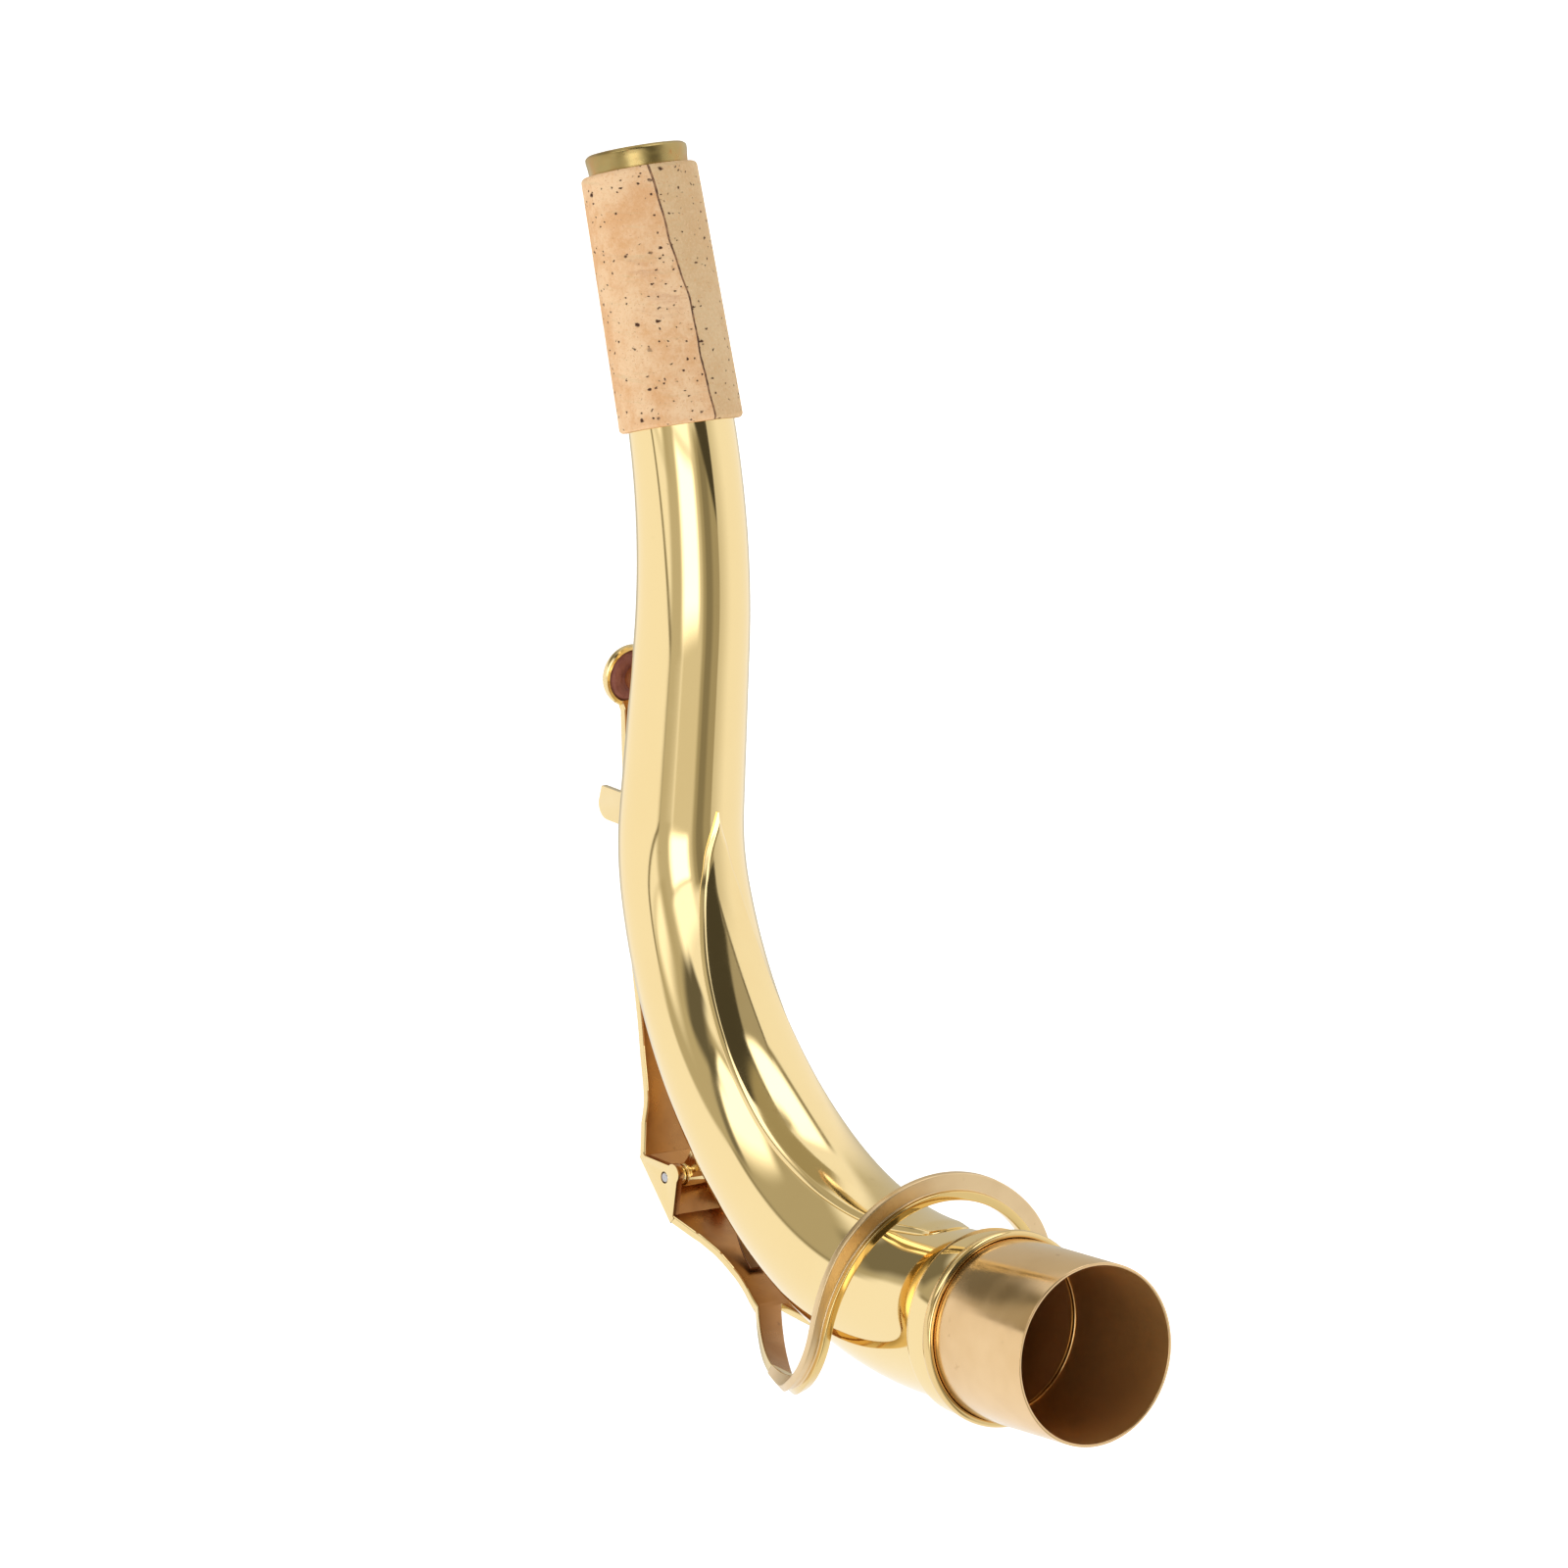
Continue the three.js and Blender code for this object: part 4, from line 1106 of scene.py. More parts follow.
@dataclass(frozen=True)
class Fitter:
    """Dresses pieces and fixes them to the frame's bodies."""

    stations: int = 110
    inward: float = -0.55
    end_face: float = 0.3

    def paint_inner_shade(self, piece: Object, line: NeckLine, half_width: float = 0.0) -> None:
        """Gives the faces that look at the tube the second finish, the painted shade under the key.

        Args:
            piece: The piece.
            line: The centre line.
            half_width: Nearer than this to the plane of the bend, end faces get it too.
        """
        stations = [line.frame(s) for s in spaced(0, line.mouth_station, self.stations)]
        for face in piece.data.polygons:
            centre = face.center / MM
            near = min(stations, key=lambda f: (f.point - centre).length_squared)
            way = centre - near.point
            way -= near.along * way.dot(near.along)
            limit = self.end_face if abs(centre.y) < half_width else self.inward
            if face.normal.dot(way.normalized()) < limit:
                face.material_index = 1

    def fit(
        self,
        piece: Object,
        body: str,
        materials: Sequence[Material],
        slot: str,
        *nodes: str,
    ) -> Object:
        """Puts a piece on a body in place of CAD nodes.

        Args:
            piece: The piece.
            body: The body that it rides on.
            materials: Its materials, by finish number.
            slot: The record's material slot; not used.
            nodes: The nodes that it stands for.

        Returns:
            The piece.
        """
        numbers = [face.material_index for face in piece.data.polygons]
        piece.data.materials.clear()
        for material in materials:
            piece.data.materials.append(material)
        for face, number in zip(piece.data.polygons, numbers, strict=True):
            face.material_index = min(number, len(materials) - 1)
        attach(piece, body)
        if nodes:
            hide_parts(*nodes)
        log.info("%s rides on %s with %d faces", piece.name, body, len(piece.data.polygons))
        return piece


FITTER = Fitter()


# ---------------------------------------------------------------------------
# The neck
# ---------------------------------------------------------------------------


@dataclass
class Assembly:
    """A group of pieces that stand on the neck's centre line."""

    line: NeckLine
    finishes: Finishes

    def build(self) -> list[Object]:
        """Makes the pieces; each assembly has its own way."""
        raise NotImplementedError


@dataclass
class NeckTube(Assembly):
    """The bent, tapered tube with its bore."""

    step: float = 1.4
    sides: int = 112
    thinned: float = 0.88
    flare_length: float = 5.0

    def _bore(self, station: float) -> float:
        """The bore's radius, which flares at the tenon end.

        Args:
            station: Length along the line.

        Returns:
            The radius there.
        """
        start = self.line.tube_start
        grown = smoothstep(station, start, start + self.flare_length)
        wall = self.line.wall * ((1 - self.thinned) + self.thinned * grown)
        return self.line.radius(station) - wall

    def build(self) -> list[Object]:
        """Makes the tube.

        Returns:
            Its one piece.
        """
        line = self.line
        count = round((line.tube_end - line.tube_start) / self.step)
        stations = spaced(line.tube_start, line.tube_end, count)
        sections = []
        for j in range(self.sides):
            angle = FULL_TURN * j / self.sides
            outer = [line.beside(s, line.radius(s), angle) for s in stations]
            bore = [line.beside(s, self._bore(s), angle) for s in reversed(stations)]
            sections.append(outer + bore)
        shell = Shell.swept(
            sections, loop=True, finish_of=lambda k: 0 if k < len(stations) - 1 else 1
        )
        piece = WORKSHOP.mesh("neck_tube_skin", shell)
        # the bore's faces get the bore brass, whose darkness is partly painted shade
        materials = [self.finishes.polished, self.finishes.inside]
        return [FITTER.fit(piece, NECK_BODY, materials, "lacquered_brass", "neck_tube")]


@dataclass
class Cork(Assembly):
    """The cork sleeve with its rounded ends and its seam."""

    top_radius: float = 8.8
    bottom_radius: float = 9.36
    end_round: float = 0.55
    seam: Table = Table(
        (0.0, 0.14, 0.29, 0.44, 0.58, 0.75, 1.0),
        (0.5, -3.0, -3.6, -5.5, -10.0, -16.5, -23.0),
    )
    seam_depth: float = 0.28
    seam_half_width: float = 0.22
    seam_waves: tuple[Triple, ...] = ((0.012, 17, 0), (0.007, 41, 1))  # size, rate and start
    glue_half_width: float = 0.16
    glue_blobs: tuple[Triple, ...] = ((0.97, 0.03, 2.6), (0.9, 0.015, 1.3))  # share, spread, extra
    glue_sink: float = 0.1
    glue_swell: float = 0.06
    glue_crown: float = 0.03
    glue_root: float = 0.05
    end_share: float = 0.7
    end_steps: tuple[float, ...] = (0, 0.1, 0.25, 0.45)
    middle_inset: float = 0.7
    middle_steps: int = 44
    tube_gap: float = 0.02
    near_share: float = 0.12
    sides: int = 144

    @classmethod
    def seam_place(cls, line: NeckLine) -> float:
        """How far the seam lies round the cork's lower end, which is half way."""
        return math.pi * (cls.bottom_radius - cls.end_share * cls.end_round)

    def _radius(self, station: float) -> float:
        """The cork's radius at a station.

        Args:
            station: Length along the line.

        Returns:
            The radius there.
        """
        line = self.line
        cone_rise = (self.top_radius - self.bottom_radius) * line.cork_share(station)
        cone = self.bottom_radius + cone_rise
        end = min(station - line.cork_bottom, line.cork_top - station)
        drop = max(0.0, 1 - end / self.end_round)
        return cone - self.end_round * self.end_share * drop * drop

    def _seam(self, station: float) -> float:
        """The seam's angle at a station.

        Args:
            station: Length along the line.

        Returns:
            The angle about the line, in radians.
        """
        share = self.line.cork_share(station)
        wander = sum(size * math.sin(rate * share + start) for size, rate, start in self.seam_waves)
        return math.radians(self.seam.at(share)) + wander

    def build(self) -> list[Object]:
        """Makes the cork and the glue in its seam.

        Returns:
            The cork and the glue line.
        """
        line = self.line
        inset = self.middle_inset
        middle = spaced(line.cork_bottom + inset, line.cork_top - inset, self.middle_steps)
        low = [line.cork_bottom + e for e in self.end_steps]
        high = [line.cork_top - e for e in reversed(self.end_steps)]
        stations = low + middle + high
        sections = []
        for j in range(self.sides):
            offset = self._offset(j)
            outer = []
            for s in stations:
                radius = self._radius(s)
                away = abs(offset) * radius
                groove = self.seam_depth * max(0.0, 1 - away / self.seam_half_width)
                outer.append(line.beside(s, radius - groove, self._seam(s) + offset))
            inner = [
                line.beside(s, line.radius(s) + self.tube_gap, self._seam(s) + offset)
                for s in reversed(stations)
            ]
            sections.append(outer + inner)
        piece = WORKSHOP.mesh("cork_sleeve", Shell.swept(sections, loop=True))
        sleeve = FITTER.fit(piece, NECK_BODY, [self.finishes.cork], "cork", "neck_cork")
        return [sleeve, self._glue(stations)]

    def _offset(self, j: int) -> float:
        """The angle of side j from the seam; near the seam the sides are closer together.

        Args:
            j: Number of the side.

        Returns:
            The angle, in radians.
        """
        half = self.sides / 2
        share = (j - half) / half
        return math.pi * (self.near_share * share + (1 - self.near_share) * share**3)

    def _glue(self, stations: Sequence[float]) -> Object:
        """Makes the ragged glue line in the seam.

        Args:
            stations: The stations that it passes.

        Returns:
            The glue line.
        """
        sections = []
        for i, s in enumerate(stations):
            ragged = 0.75 + 0.35 * math.sin(2.3 * i) * math.sin(0.71 * i + 2)
            reach = self.glue_half_width * ragged / self._radius(s)
            share = self.line.cork_share(s)
            for place, spread, extra in self.glue_blobs:
                reach *= 1 + extra * math.exp(-(((share - place) / spread) ** 2))
            top = self._radius(s) - self.glue_sink + self.glue_swell * ragged
            low = self._radius(s) - self.seam_depth - self.glue_root
            crown = top + self.glue_crown
            seam = self._seam(s)
            corners = [(low, -reach), (top, -reach), (crown, 0.0), (top, reach), (low, reach)]
            sections.append([self.line.beside(s, r, seam + a) for r, a in corners])
        piece = WORKSHOP.mesh("cork_seam_glue", Shell.swept(sections))
        return FITTER.fit(piece, NECK_BODY, [self.finishes.seam], "cork")


@dataclass
class MouthRing(Assembly):
    """The rolled ring on the mouthpiece end."""

    radius: float = 7.7
    bore: float = 6.3
    lip: float = 1.1
    gap: float = 0.02
    lap: float = 0.3
    edge: float = 0.22

    def build(self) -> list[Object]:
        """Makes the ring.

        Returns:
            Its one piece.
        """
        line = self.line
        frame = line.frame(line.mouth_station)
        tube = line.radius(line.cork_top) + self.gap
        low = -line.ring_height - self.lap
        profile = filleted(
            [
                (tube, low),
                (self.radius - 0.25, low),
                (self.radius - 0.12, -1.9),
                (self.radius, -1.2),
                (self.radius, -0.45),
                (self.radius - 0.55, 0.0),
                (self.bore + 0.25, 0.0),
                (self.bore, -0.35),
                (self.bore, -self.lip),
                (tube, -self.lip),
            ],
            self.edge,
        )
        piece = WORKSHOP.mesh("mouth_ring", Shell.turned(profile, frame.point, frame.along))
        materials = [self.finishes.tarnished]
        return [FITTER.fit(piece, NECK_BODY, materials, "tarnished_brass", "mouthpiece_end_ring")]


@dataclass
class BraceLeaf(Assembly):
    """The leaf-shaped plate on the inner side of the bend."""

    start: float = 14.0
    end: float = 123.0
    half_width: float = 7.7
    thickness: float = 0.72
    edge: float = 0.2
    edge_lift: float = 0.3
    feather: float = 0.8
    start_lift: float = 0.35
    start_ramp: float = 0.05
    edge_share: float = 0.5
    least_half: float = 0.12
    tube_overlap: float = 0.1
    along: int = 150
    across: int = 28
    shape: Table = Table(
        (0, 0.01, 0.03, 0.06, 0.143, 0.27, 0.377, 0.45, 0.52, 0.592, 0.68, 0.747, 0.819, 0.862,
         0.895, 0.93, 0.97, 1),
        (0.22, 0.46, 0.55, 0.61, 0.78, 0.91, 0.985, 1, 0.97, 0.925, 0.83, 0.735, 0.57, 0.457,
         0.354, 0.27, 0.13, 0.02),
    )

    def build(self) -> list[Object]:
        """Makes the leaf, thinning to its rounded edge.

        Returns:
            Its one piece.
        """
        line = self.line
        sections = []
        for share in spaced(0, 1, self.along):
            s = self.start + (self.end - self.start) * share
            half = max(self.half_width * self.shape.at(share), self.least_half)
            radius = line.radius(s)
            grown = smoothstep(share, 0.0, self.start_ramp)
            height = self.start_lift + (1 - self.start_lift) * grown
            top = []
            for k in spaced(-1, 1, self.across):
                y = half * math.sin(k * math.pi / 2)
                inset = half - abs(y)
                fall = max(0.0, 1 - inset / min(self.edge, half))
                rise = (self.thickness - self.edge_lift) * smoothstep(inset, 0.0, self.feather)
                lift = self.edge_lift + rise
                lift -= self.edge_share * self.edge * (1 - math.sqrt(max(0.0, 1 - fall**2)))
                top.append((y / radius, radius + lift * height))
            base = radius - self.tube_overlap
            outline = [(-half / radius, base), *top, (half / radius, base)]
            sections.append([line.beside(s, r, a) for a, r in outline])
        piece = WORKSHOP.mesh("brace_leaf", Shell.swept(sections))
        materials = [self.finishes.leaf]
        return [FITTER.fit(piece, NECK_BODY, materials, "lacquered_brass", "brace_plate")]


@dataclass
class Tenon(Assembly):
    """The sleeve that plugs into the receiver, with its stop bead and ferrule."""

    radius: float = 13.75
    wall: float = 0.45
    length: float = 21.5
    lap: float = 2.6
    bead_radius: float = 14.8
    bead_width: float = 1.9
    bead_round: float = 0.3
    ferrule_radius: float = 14.2
    ferrule_width: float = 4.5
    gap: float = 0.05
    overlap: float = 0.02
    edge: float = 0.14
    sides: int = 144

    def build(self) -> list[Object]:
        """Makes the sleeve, the bead and the ferrule."""
        return [self._sleeve(), self._bead(), self._ferrule()]

    def _turn(
        self,
        name: str,
        profile: Sequence[Pair],
        finish_of: Callable[[int], int] | None = None,
    ) -> Object:
        """Turns a profile about the tenon's axis."""
        shoulder, axis = Vector((0, 0, 0)), Vector((1, 0, 0))
        return WORKSHOP.mesh(name, Shell.turned(profile, shoulder, axis, self.sides, finish_of))

    def _sleeve(self) -> Object:
        """The sleeve, with a bevelled end.

        Returns:
            The sleeve.
        """
        inner = self.radius - self.wall
        profile = filleted(
            [
                (inner, -self.lap),
                (inner, self.length),
                (self.radius, self.length),
                (self.radius, -self.lap),
            ],
            self.edge,
        )
        bore_strips = len(profile) // 2 - 3  # all before the rounding of the bore's mouth
        piece = self._turn("tenon_tube", profile, lambda k: 1 if k < bore_strips else 0)
        # the bore's strips get the bore brass, whose darkness is partly painted shade
        materials = [self.finishes.satin, self.finishes.inside]
        return FITTER.fit(piece, NECK_BODY, materials, "satin_brass", "tenon_sleeve")

    def _bead(self) -> Object:
        """The stop bead, with a crowned rim and flat shoulder.

        Returns:
            The bead.
        """
        inner = self.radius + self.overlap
        profile = filleted(
            [
                (inner, -self.bead_width),
                (self.bead_radius - self.bead_round, -self.bead_width),
                (self.bead_radius, -0.7 * self.bead_width),
                (self.bead_radius, -0.3 * self.bead_width),
                (self.bead_radius - self.bead_round, 0.0),
                (inner, 0.0),
            ],
            self.bead_round,
            4,
        )
        piece = self._turn("stop_bead", profile)
        materials = [self.finishes.bead]
        return FITTER.fit(piece, NECK_BODY, materials, "lacquered_brass", "tenon_stop_bead")

    def _ferrule(self) -> Object:
        """The ferrule band, whose edge by the neck is drawn in.

        Returns:
            The ferrule.
        """
        front = -self.bead_width - self.gap
        back = front - self.ferrule_width - self.gap
        inner = self.line.tenon_radius - self.overlap
        radius = self.ferrule_radius
        profile = filleted(
            [
                (inner, back),
                (radius - 0.12, back),
                (radius, back + 0.35),
                (radius, front),
                (inner, front),
            ],
            self.edge,
        )
        piece = self._turn("ferrule_band", profile)
        materials = [self.finishes.polished]
        return FITTER.fit(piece, NECK_BODY, materials, "lacquered_brass", "tenon_ferrule")


# ---------------------------------------------------------------------------
# Fittings on the tube
# ---------------------------------------------------------------------------


def saddle_plate(
    line: NeckLine,
    stations: Sequence[float],
    half_width: Callable[[float], float],
    thickness: float,
    across: int = 12,
) -> Shell:
    """A plate bent onto the tube's outer side.

    Args:
        line: The centre line.
        stations: Where its sections stand.
        half_width: Its half width at a station.
        thickness: Its thickness.
        across: Faces across it.

    Returns:
        A closed shell, let a little into the tube.
    """
    sections = []
    for s in stations:
        radius = line.radius(s)
        reach = half_width(s) / radius
        angles = spaced(math.pi - reach, math.pi + reach, across)
        top = [line.beside(s, radius + thickness, a) for a in angles]
        low = [line.beside(s, radius - LET_IN, a) for a in reversed(angles)]
        sections.append(top + low)
    return Shell.swept(sections)


@dataclass
class OctavePip(Assembly):
    """The vent tube under the pad."""

    station: float = 137.65
    height: float = 5.4
    radius: float = 2.4
    rim_radius: float = 1.9
    bore: float = 1.2
    depth: float = 2.05
    drill_depth: float = 3.0
    foot_radius: float = 4.2
    foot_thickness: float = 0.95
    edge: float = 0.12
    corner: float = 0.25
    sides: int = 64

    def build(self) -> list[Object]:
        """Makes the pip, its foot flaring into the tube.

        Returns:
            Its one piece.
        """
        line = self.line
        frame = line.frame(self.station)
        base = line.radius(self.station)
        top = base + self.height
        profile = filleted(
            [
                (self.bore, base - self.depth),
                (self.radius, base - self.depth),
                (self.radius, base - 0.6),
                (self.radius + 0.5, base + 0.2),
                (self.radius + 0.5, base + 0.75),
                (self.radius, base + 1.3),
                (self.radius, base + 2.6),
                (self.radius - 0.25, base + 2.8),
                (self.radius - 0.25, top - 1.1),
                (self.rim_radius + 0.15, top - 0.5),
                (self.rim_radius, top),
                (self.bore + 0.15, top),
                (self.bore, top - 0.2),
            ],
            self.corner,
        )
        shell = Shell.turned(profile, frame.point, frame.outer, self.sides)
        pipe = WORKSHOP.mesh("octave_vent", shell)
        stations = [self.station - self.foot_radius * math.cos(math.pi * i / 24) for i in range(25)]
        shell = saddle_plate(line, stations, self._half_width, self.foot_thickness)
        foot = WORKSHOP.mesh("octave_vent_foot", shell)
        hole = box(ON_AXIS, base - self.drill_depth, self.bore, top)
        drill = Shell.turned(hole, frame.point, frame.outer, self.sides)
        WORKSHOP.combined(foot, [WORKSHOP.mesh("vent_drill", drill)], "DIFFERENCE")
        WORKSHOP.combined(pipe, [foot])
        WORKSHOP.bevelled(pipe, self.edge)
        return [FITTER.fit(pipe, NECK_BODY, [self.finishes.key], "lacquered_brass", "octave_pip")]

    def _half_width(self, station: float) -> float:
        """Half width of the round foot at a station."""
        away = abs(station - self.station)
        return max(0.15, math.sqrt(max(0.0, self.foot_radius**2 - away**2)))


@dataclass
class KeyGuide(Assembly):
    """The guide whose two cheeks keep the key arm in line."""

    station: float = 118.8
    length: float = 5.0
    height: float = 7.7
    inner: float = 2.45
    cheek: float = 1.0
    foot_thickness: float = 1.05
    corner: float = 2.4
    lean: float = 0.7
    edge: float = 0.22

    def build(self) -> list[Object]:
        """Makes the guide.

        Returns:
            Its one piece.
        """
        line = self.line
        frame = line.frame(self.station)
        radius = line.radius(self.station)
        half = self.length / 2
        outer = self.inner + self.cheek
        stations = spaced(self.station - half, self.station + half, 8)
        plate = saddle_plate(line, stations, lambda _: outer, self.foot_thickness)
        foot = WORKSHOP.mesh("key_guide_fork", plate)
        middle = (self.inner + outer) / 2
        bottom = math.sqrt((radius + self.foot_thickness / 2) ** 2 - middle**2)
        top = radius + self.height
        outline = [(-half, bottom), (half, bottom)]
        centre_u, centre_v = half - self.corner, top - self.corner
        for angle in spaced(0, math.pi / 2, 10):
            u = centre_u + self.corner * math.cos(angle)
            outline.append((u, centre_v + self.corner * math.sin(angle)))
        outline.append((-half, top - self.lean))
        cheeks = [
            WORKSHOP.mesh(
                f"guide_cheek_{name}",
                Shell.extruded(outline, -frame.along, frame.outer, frame.point, low, high),
            )
            for name, low, high in (("near", -outer, -self.inner), ("far", self.inner, outer))
        ]
        WORKSHOP.combined(foot, cheeks)
        WORKSHOP.bevelled(foot, self.edge)
        return [FITTER.fit(foot, NECK_BODY, [self.finishes.key], "lacquered_brass", "key_guide")]


@dataclass
class Hinge(Assembly):
    """The key's hinge: saddle, yoke, collars, rod, spring and screw."""

    station: float = 73.9
    pivot_height: float = 8.8
    barrel_radius: float = 1.75
    barrel_half: float = 2.2
    collar_radius: float = 1.35
    collar_length: float = 2.0
    collar_waist: float = 0.18
    rod_radius: float = 0.8
    rod_bore: float = 0.9
    head_radius: float = 1.35
    head_height: float = 0.6
    ear_thickness: float = 1.1
    ear_reach: float = 3.8
    ear_tip_radius: float = 1.5
    ear_tip_lean: float = 0.8
    yoke_half_length: float = 6.0
    yoke_rise: float = 3.5
    yoke_plate: float = 1.3
    saddle_half_length: float = 5.2
    saddle_half_width: float = 4.6
    saddle_thickness: float = 1.15
    post_foot_half: float = 2.8
    post_neck_half: float = 1.3
    gap: float = 0.1
    edge: float = 0.2
    yoke_edge: float = 0.3
    spring_half_width: float = 1.4
    spring_thickness: float = 0.4
    spring_flat: float = 4.4
    flat_steps: int = 6
    spring_reach: float = 8.6
    bend_steps: int = 20
    spring_edge: float = 0.12
    spring_post_gap: float = 0.3
    spring_gap: float = 0.05
    spring_tip_gap: float = 0.12
    screw_radius: float = 1.6
    slot_half_width: float = 0.2

    @property
    def frame(self) -> StationFrame:
        """The centre line's frame at the hinge."""
        return self.line.frame(self.station)

    @property
    def pivot(self) -> Vector:
        """The middle of the pivot."""
        reach = self.line.radius(self.station) + self.pivot_height
        return self.frame.point + self.frame.outer * reach

    @property
    def yoke_half_width(self) -> float:
        """Half the yoke's width."""
        return self.barrel_half + self.collar_length + 2 * self.gap + self.ear_thickness

    @property
    def spring_start(self) -> float:
        """The station of the spring's end at the post."""
        return self.station - self.post_foot_half - self.spring_post_gap

    @property
    def spring_seat(self) -> float:
        """The height of the spring's underside over the tube."""
        return self.saddle_thickness + self.spring_gap

    def at(self, u: float, v: float, y: float = 0.0) -> Vector:
        """A point at the hinge.

        Args:
            u: Distance from the pivot to the tenon, along the tube.
            v: Distance from the pivot away from the tube.
            y: Distance from the plane of the bend.

        Returns:
            The point.
        """
        point = self.pivot - self.frame.along * u + self.frame.outer * v
        point.y = y
        return point

    def _plate(self, name: str, outline: Sequence[Pair], low: float, high: float) -> Object:
        """A plate across the hinge.

        Args:
            name: Name of the new object.
            outline: Its corners, as distances from the pivot.
            low: The y at which it starts.
            high: The y at which it ends.

        Returns:
            The plate.
        """
        frame = self.frame
        shell = Shell.extruded(outline, -frame.along, frame.outer, self.pivot, low, high)
        return WORKSHOP.mesh(name, shell)

    def _rod(self, name: str, profile: Sequence[Pair]) -> Object:
        """A solid turned about the pivot."""
        return WORKSHOP.mesh(name, Shell.turned(profile, self.pivot, SIDEWAYS, 64))

    def _drill(self) -> Object:
        """The hole for the rod."""
        reach = self.yoke_half_width + 1
        return self._rod("rod_drill", box(ON_AXIS, -reach, self.rod_bore, reach))

    def build(self) -> list[Object]:
        """Makes the saddle, spring, screw, yoke, collars and rod."""
        pieces = [self._saddle(), self._spring(), self._screw(), self._yoke()]
        return [*pieces, *(self._collar(side) for side in Side), self._pin()]

    def _saddle(self) -> Object:
        """The foot, post and barrel.

        Returns:
            The saddle, as one piece.
        """
        reach = self.saddle_half_length
        stations = spaced(self.station - reach, self.station + reach, 14)
        width = self.saddle_half_width
        plate = saddle_plate(self.line, stations, lambda _: width, self.saddle_thickness)
        foot = WORKSHOP.mesh("hinge_post", plate)
        low = self.saddle_thickness / 2 - self.pivot_height
        outline = [
            (-self.post_foot_half, low),
            (self.post_foot_half, low),
            (self.post_foot_half - 0.5, low + 1.4),
            (self.post_neck_half, -self.barrel_radius - 0.8),
            (self.post_neck_half, 0.0),
            (-self.post_neck_half, 0.0),
            (-self.post_neck_half, -self.barrel_radius - 0.8),
            (0.5 - self.post_foot_half, low + 1.4),
        ]
        web = self._plate("post_web", outline, 0.25 - self.barrel_half, self.barrel_half - 0.25)
        half = self.barrel_half
        profile = filleted(box(ON_AXIS, -half, self.barrel_radius, half), self.edge)
        barrel = self._rod("post_barrel", profile)
        WORKSHOP.combined(foot, [web, barrel])
        WORKSHOP.combined(foot, [self._drill()], "DIFFERENCE")
        WORKSHOP.bevelled(foot, self.edge)
        return FITTER.fit(foot, NECK_BODY, [self.finishes.key], "lacquered_brass", "hinge_saddle")

    def _spring(self) -> Object:
        """The flat spring, from its screw to the underside of the lower arm.

        Returns:
            The spring.
        """
        start = self.spring_start
        half = self.spring_thickness / 2
        low = self.spring_seat + half
        high = KeyArms.fork_lift() - KeyArms.thickness - self.spring_tip_gap - half
        flat = spaced(0, 1, self.flat_steps)
        middles = [self.line.over(start - self.spring_flat * t, low) for t in flat]
        for t in spaced(0, 1, self.bend_steps)[1:]:
            lift = low + (high - low) * math.sin(t * math.pi / 2)
            s = start - self.spring_flat - self.spring_reach * t
            middles.append(self.line.over(s, lift))
        halves = (self.spring_half_width, half)
        sections = []
        for i, middle in enumerate(middles):
            up = path_normal(middles, i, self.frame.outer)
            sections.append(bar_section(middle, SIDEWAYS, up, halves, self.spring_edge))
        piece = WORKSHOP.mesh("key_spring", Shell.swept(sections))
        piece.data.materials.append(self.finishes.tempered)
        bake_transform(piece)
        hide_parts("flat_spring")
        log.info("%s bends between %s and %s", piece.name, NECK_BODY, KEY_BODY)
        return piece

    def _screw(self) -> Object:
        """The spring's slotted screw, with a domed head.

        Returns:
            The screw.
        """
        station = self.spring_start - self.spring_flat / 2
        frame = self.line.frame(station)
        seat = self.spring_seat + self.spring_thickness + self.spring_gap
        base = self.line.radius(station) + seat
        radius = self.screw_radius
        profile = filleted(
            [
                (ON_AXIS, base),
                (radius, base),
                (radius, base + 0.75),
                (0.6 * radius, base + 1.05),
                (ON_AXIS, base + 1.12),
            ],
            0.2,
        )
        dome = Shell.turned(profile, frame.point, frame.outer, 48)
        head = WORKSHOP.mesh("spring_screw_head", dome)
        outline = box(-self.slot_half_width, base + 0.7, self.slot_half_width, base + 2)
        along, outer, reach = -frame.along, frame.outer, 2 * radius
        slot = Shell.extruded(outline, along, outer, frame.point, -reach, reach)
        WORKSHOP.combined(head, [WORKSHOP.mesh("screw_slot", slot)], "DIFFERENCE")
        return FITTER.fit(head, NECK_BODY, [self.finishes.steel], "rod_steel", "spring_screw")

    def _yoke(self) -> Object:
        """The yoke: a plate with two ears folded down to the rod.

        Returns:
            The yoke.
        """
        half, rise = self.yoke_half_length, self.yoke_rise
        plate = box(-half, rise - self.yoke_plate, half, rise)
        foot = rise - self.yoke_plate / 2
        ear = []
        for angle in spaced(-math.pi, 0, 20):
            u = self.ear_tip_lean + self.ear_tip_radius * math.cos(angle)
            ear.append((u, self.ear_tip_radius * (1 + math.sin(angle)) - self.ear_reach))
        ear += [(half, foot), (-half, foot)]
        outer = self.yoke_half_width
        inner = outer - self.ear_thickness
        body = self._plate("key_yoke", plate, -outer, outer)
        ears = [
            self._plate("yoke_ear_near", ear, -outer, -inner),
            self._plate("yoke_ear_far", ear, inner, outer),
        ]
        WORKSHOP.combined(body, ears)
        WORKSHOP.combined(body, [self._drill()], "DIFFERENCE")
        WORKSHOP.bevelled(body, self.yoke_edge)
        # painted shade: the faces that look at the tube, and end faces near the middle, get the
        # darker underside brass
        FITTER.paint_inner_shade(body, self.line, outer - 0.2)
        materials = [self.finishes.key, self.finishes.underside]
        return FITTER.fit(body, KEY_BODY, materials, "lacquered_brass", "hinge_yoke")

